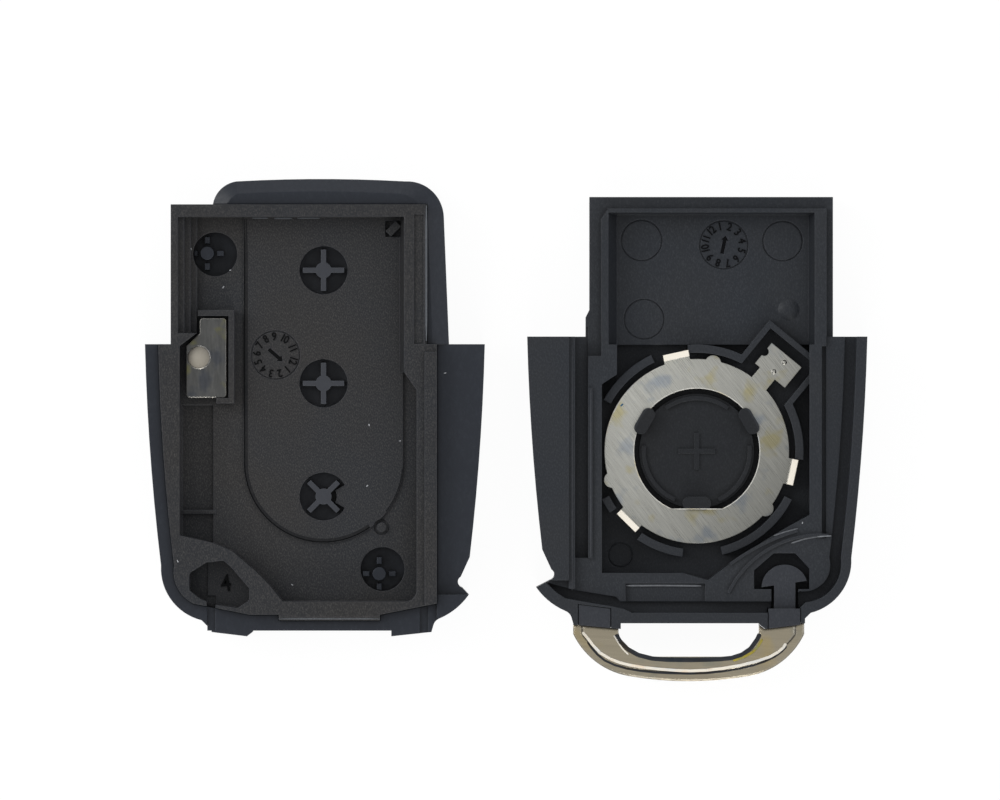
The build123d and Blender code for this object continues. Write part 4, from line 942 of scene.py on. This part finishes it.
@dataclass
class ButtonHalf:
    """The half with the tray, the cover, the latch plate and the three buttons."""

    shop: Workshop
    digit_place: tuple[float, float] = (-29.7 * MM, -16.3 * MM)
    digit_turn: float = 8.0
    digit: int = 4
    floor_middle: tuple[float, float] = (-19.35, -3.475)
    floor_radius: float = 8.45
    floor_top: float = 22.4
    # Painted shade along the edge of the button floor: inset and width of its dark line and of its softer band, in mm
    line_inset: float = 0.07
    line_width: float = 0.13
    band_inset: float = 0.27
    band_width: float = 0.28

    def dress(self) -> None:
        """Give the CAD nodes of this half their finishes."""
        self.shop.dress_node("front_tray", Spot.TRAY)
        self.shop.dress_node("front_cover", Spot.COVER)
        self.shop.dress_node("latch_plate", Spot.PLATE)
        for name in ("lock_button", "trunk_button", "unlock_button"):
            self.shop.dress_node(name, Spot.BUTTON)

    def floor_path(self, inset: float, width: float) -> Path:
        """Return the way down the left edge of the button floor and round its lower end.

        Args:
            inset: How far inside the edge it runs, in millimetres.
            width: Width of the line, in millimetres.

        Returns:
            Points and width of the line.
        """
        radius = self.floor_radius - inset
        bend = circle(self.floor_middle, radius, 180.0, 306.0, 24)
        return [(self.floor_middle[0] - radius, self.floor_top), *bend], width

    def build(self) -> None:
        """Model the dial, the cavity number, the painted highlights along edges and the painted shade along the edge
        of the button floor.
        """
        DateDial(self.shop, "front_tray", "tray", Spot.TRAY, centre=(-24.45 * MM, 7.975 * MM), first=-50.0,
                 room=(27.0, 39.0), arrow_turn=-131.0).build()
        # The cavity number, near-black as painted shade
        large = Numerals(size=2.5 * MM, weight=0.03 * MM, rise=0.12 * MM)
        base = self.shop.top_of("front_tray", *self.digit_place)
        digit = large.number(self.digit, *self.digit_place, base, math.radians(self.digit_turn))
        self.shop.add(digit, "tray_cavity_number", Spot.TRAY, Skin.MARK)
        slivers = Slivers(self.shop)
        # Painted highlights along edges of the tray
        slivers.lay("tray_edge_highlights", Spot.TRAY, Skin.GLINT, [
            ([(-8.44, 23.78), (-8.44, 9.47)], 0.22),
            ([(-24.06, -19.95), (-13.36, -19.95)], 0.14),
            ([(-26.92, 22.5), (-25.23, 22.5)], 0.14),
            ([(-24.59, 22.48), (-22.68, 22.48)], 0.18),
            ([(-22.15, 22.5), (-19.72, 22.5)], 0.14),
        ])
        # Painted shade along the edge of the button floor: a near-black line and a softer darker band inside it
        rest = circle(self.floor_middle, self.floor_radius - self.line_inset, 322.0, 356.0, 8)
        slivers.lay("tray_floor_edge_shade", Spot.TRAY, Skin.MARK,
                    [self.floor_path(self.line_inset, self.line_width), (rest, self.line_width / 2)])
        slivers.lay("tray_floor_band_shade", Spot.TRAY, Skin.RUB, [self.floor_path(self.band_inset, self.band_width)])


@dataclass
class BatteryHalf:
    """The half with the battery case, the contact, the key ring loop and its two feet."""

    shop: Workshop
    cell_centre: tuple[float, float] = (20.25, -2.22)
    contact_inner: float = 6.65
    contact_outer: float = 9.8
    cut_overlap: float = 0.06

    def dress(self) -> None:
        """Give the CAD nodes of this half their finishes."""
        self.shop.dress_node("rear_case", Spot.CASE)
        self.shop.dress_node("battery_contact", Spot.CONTACT)
        self.shop.dress_node("key_ring_loop", Spot.LOOP)
        for name in ("loop_foot_left", "loop_foot_right"):
            self.shop.dress_node(name, Spot.FOOT)

    def build(self) -> None:
        """Model the dial, the painted highlights along edges, the painted highlights, shade and reflections on the
        metal, and the dot of ink.
        """
        DateDial(self.shop, "rear_case", "case", Spot.CASE, centre=(23.11 * MM, 19.675 * MM), first=102.0,
                 room=(30.0, 30.0), arrow_turn=-12.0).build()
        slivers = Slivers(self.shop)
        # Painted highlights along edges of the case
        slivers.lay("case_edge_highlights", Spot.CASE, Skin.GLINT, [
            ([(12.72, -16.46), (16.75, -16.44), (20.67, -16.48)], 0.17),
            ([(28.36, -11.17), (29.57, -10.75), (30.9, -10.41)], 0.14),
            ([(30.21, -11.95), (31.59, -11.51), (32.97, -11.27), (34.45, -11.17)], 0.15),
        ])
        # Painted dull highlights along the walls of the case
        slivers.lay("case_dull_highlights", Spot.CASE, Skin.RUB, [
            ([(8.97, 4.38), (8.97, -13.43)], 0.16),
            ([(7.0, 9.04), (7.0, -16.93)], 0.14),
        ])
        self.lines(slivers)
        dot = Flecks(self.shop.nodes, seed=3).scatter([(12.30, 2.68, 0.34)])
        self.shop.add(dot, "contact_ink_dot", Spot.CONTACT, Skin.TINT)

    def lines(self, slivers: Slivers) -> None:
        """Lay the painted highlights, shade and reflections on the loop, and the painted highlights on the edges of
        the contact.

        Args:
            slivers: Maker of the lines.
        """
        # Painted highlight along the ridge of the loop
        slivers.lay("loop_ridge_highlight", Spot.LOOP, Skin.GLINT, [
            ([(8.11, -21.4), (8.64, -22.02), (9.25, -22.81), (9.96, -23.58), (11.02, -24.22),
              (12.08, -24.63), (13.14, -24.9), (14.55, -25.14), (16.32, -25.33), (18.09, -25.46),
              (19.5, -25.51), (21.27, -25.44), (23.03, -25.23), (24.8, -24.93), (26.57, -24.49),
              (27.98, -24.01), (28.86, -23.5), (29.39, -23.05), (29.68, -22.6)], 0.3),
            ([(11.45, -21.75), (11.82, -22.37), (12.35, -23.16), (12.98, -23.79)], 0.16),
        ])
        # Painted shade in the groove of the loop and a painted dark reflection along its inner edge
        slivers.lay("loop_dark_reflections", Spot.LOOP, Skin.MARK, [
            ([(8.65, -22.46), (9.08, -23.08), (9.7, -23.79), (10.49, -24.43), (11.55, -24.91),
              (12.79, -25.27), (14.2, -25.51), (15.61, -25.66), (17.2, -25.76), (19.5, -25.81),
              (21.27, -25.75), (23.03, -25.56), (24.8, -25.27), (26.21, -24.93), (27.45, -24.52),
              (28.51, -24.0), (29.22, -23.48), (29.76, -22.92)], 0.21),
            ([(11.66, -21.65), (12.08, -22.35), (12.88, -23.18), (14.02, -23.82), (15.53, -24.2),
              (17.07, -24.32), (19.5, -24.35), (21.27, -24.32), (22.68, -24.26), (23.94, -24.13),
              (25.02, -23.78), (25.92, -23.15), (26.62, -22.18), (26.91, -21.57)], 0.46),
        ])
        # Painted yellow reflection along the inner corner of the loop
        slivers.lay("loop_yellow_reflection", Spot.LOOP, Skin.TINT, [
            ([(27.18, -22.15), (26.71, -22.9), (26.18, -23.5), (25.23, -24.05), (24.06, -24.43)], 0.26),
        ])
        # Painted highlights along the punched edges of the contact
        cuts = [circle(self.cell_centre, self.contact_inner + self.cut_overlap, first, last, 12)
                for first, last in ((-66.0, 15.0), (41.0, 139.0), (165.0, 246.0))]
        outer = circle(self.cell_centre, self.contact_outer - self.cut_overlap, 112.0, 172.0, 12)
        slivers.lay("contact_edge_highlights", Spot.CONTACT, Skin.GLINT,
                    [*[(cut, 0.1) for cut in cuts], ([cuts[0][0], cuts[-1][-1]], 0.1), (outer, 0.12)])


@dataclass
class Studio:
    """The white board, the soft lights round it and the camera straight above."""

    view_width: float = 106.0 * MM
    aim: tuple[float, float, float] = (-0.636 * MM, 3.21 * MM, 5.0 * MM)
    lens: float = 500.0
    sensor: float = 36.0
    nearest: float = 0.05
    farthest: float = 20.0
    board_size: float = 3.0
    board_drop: float = 0.02 * MM

    def floor(self) -> None:
        """Lay the board under the object."""
        bpy.ops.object.select_all(action="DESELECT")
        bpy.ops.mesh.primitive_plane_add(size=self.board_size, location=(0.0, 0.0, -self.board_drop))
        board = bpy.context.active_object
        bpy.ops.object.mode_set(mode="EDIT")
        bpy.ops.mesh.select_all(action="SELECT")
        bpy.ops.mesh.subdivide(number_cuts=3)
        bpy.ops.object.mode_set(mode="OBJECT")
        board.name = "board"
        settle(board)
        dress(board, TableTop().material())

    def lamp(self, name: str, place: tuple[float, float, float], size: float, watts: float, colour: str) -> None:
        """Hang one square soft light that faces the object.

        Args:
            name: Name of the light.
            place: Where it hangs, in metres.
            size: Length of its sides.
            watts: Its power.
            colour: Its colour.
        """
        bpy.ops.object.light_add(type="AREA", location=place)
        lamp = bpy.context.active_object
        lamp.name = name
        lamp.data.shape = "SQUARE"
        lamp.data.size = size
        lamp.data.energy = watts
        lamp.data.color = linear(colour)[:3]
        lamp.rotation_euler = (-Vector(place)).to_track_quat("-Z", "Y").to_euler()

    def lights(self) -> None:
        """Hang the lights and set the even light of the room."""
        self.lamp("light_left", (-0.42, 0.16, 0.34), 0.34, 1.3, "#FFFFFF")
        self.lamp("light_right", (0.44, 0.10, 0.30), 0.30, 0.28, "#FBFCFF")
        self.lamp("light_back", (0.02, 0.48, 0.32), 0.34, 0.3, "#FFFFFF")
        self.lamp("light_front", (0.05, -0.46, 0.26), 0.26, 0.95, "#FFFDF8")
        world = bpy.data.worlds.new("room")
        bpy.context.scene.world = world
        world.use_nodes = True
        tree = world.node_tree
        tree.nodes.clear()
        output = add_node(tree, "ShaderNodeOutputWorld")
        way = add_node(tree, "ShaderNodeTexCoord").outputs["Generated"]
        height = add_node(tree, "ShaderNodeSeparateXYZ", None, {"Vector": way})
        grey = add_node(tree, "ShaderNodeValToRGB",
                        {"stops": [(0.0, linear("#8E9094")), (0.35, linear("#BDBEC2")), (1.0, linear("#C0C1C3"))]},
                        {"Fac": height.outputs["Z"]})
        air = add_node(tree, "ShaderNodeBackground", {"Strength": 1.0}, {"Color": grey.outputs["Color"]})
        tree.links.new(air.outputs["Background"], output.inputs["Surface"])

    def camera(self) -> None:
        """Set the camera straight above the object."""
        distance = self.view_width * self.lens / self.sensor
        x, y, z = self.aim
        bpy.ops.object.camera_add(location=(x, y, z + distance), rotation=(0.0, 0.0, 0.0))
        camera = bpy.context.active_object
        camera.name = "camera"
        camera.data.lens = self.lens
        camera.data.sensor_width = self.sensor
        camera.data.clip_start = self.nearest
        camera.data.clip_end = self.farthest
        bpy.context.scene.camera = camera
        bpy.context.scene.view_settings.view_transform = "Standard"


# Width, depth and length of each fleck, in millimetres
FLECK_PLACES = [
    (-29.99, 15.18, 0.28), (-6.46, 6.07, 0.24), (-14.52, 0.56, 0.22), (-11.24, -1.13, 0.20),
    (-14.73, -5.90, 0.24), (-22.68, -16.40, 0.22), (-34.76, -13.85, 0.24), (-33.38, 19.21, 0.20),
    (-29.25, 16.98, 0.18), (31.40, -9.80, 0.20),
]


def main() -> None:
    """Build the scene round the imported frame, piece by piece."""
    logging.basicConfig(level=logging.INFO, format="%(name)s: %(message)s")
    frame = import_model()
    bpy.ops.object.select_all(action="DESELECT")
    shop = Workshop(frame["nodes"])
    studio = Studio()
    studio.camera()
    studio.floor()
    studio.lights()
    for half in (ButtonHalf(shop), BatteryHalf(shop)):
        half.dress()
        half.build()
    shop.add(Flecks(shop.nodes).scatter(FLECK_PLACES), "moulding_flecks", Spot.FOOT, Skin.GLINT)


if __name__ == "__main__":
    main()
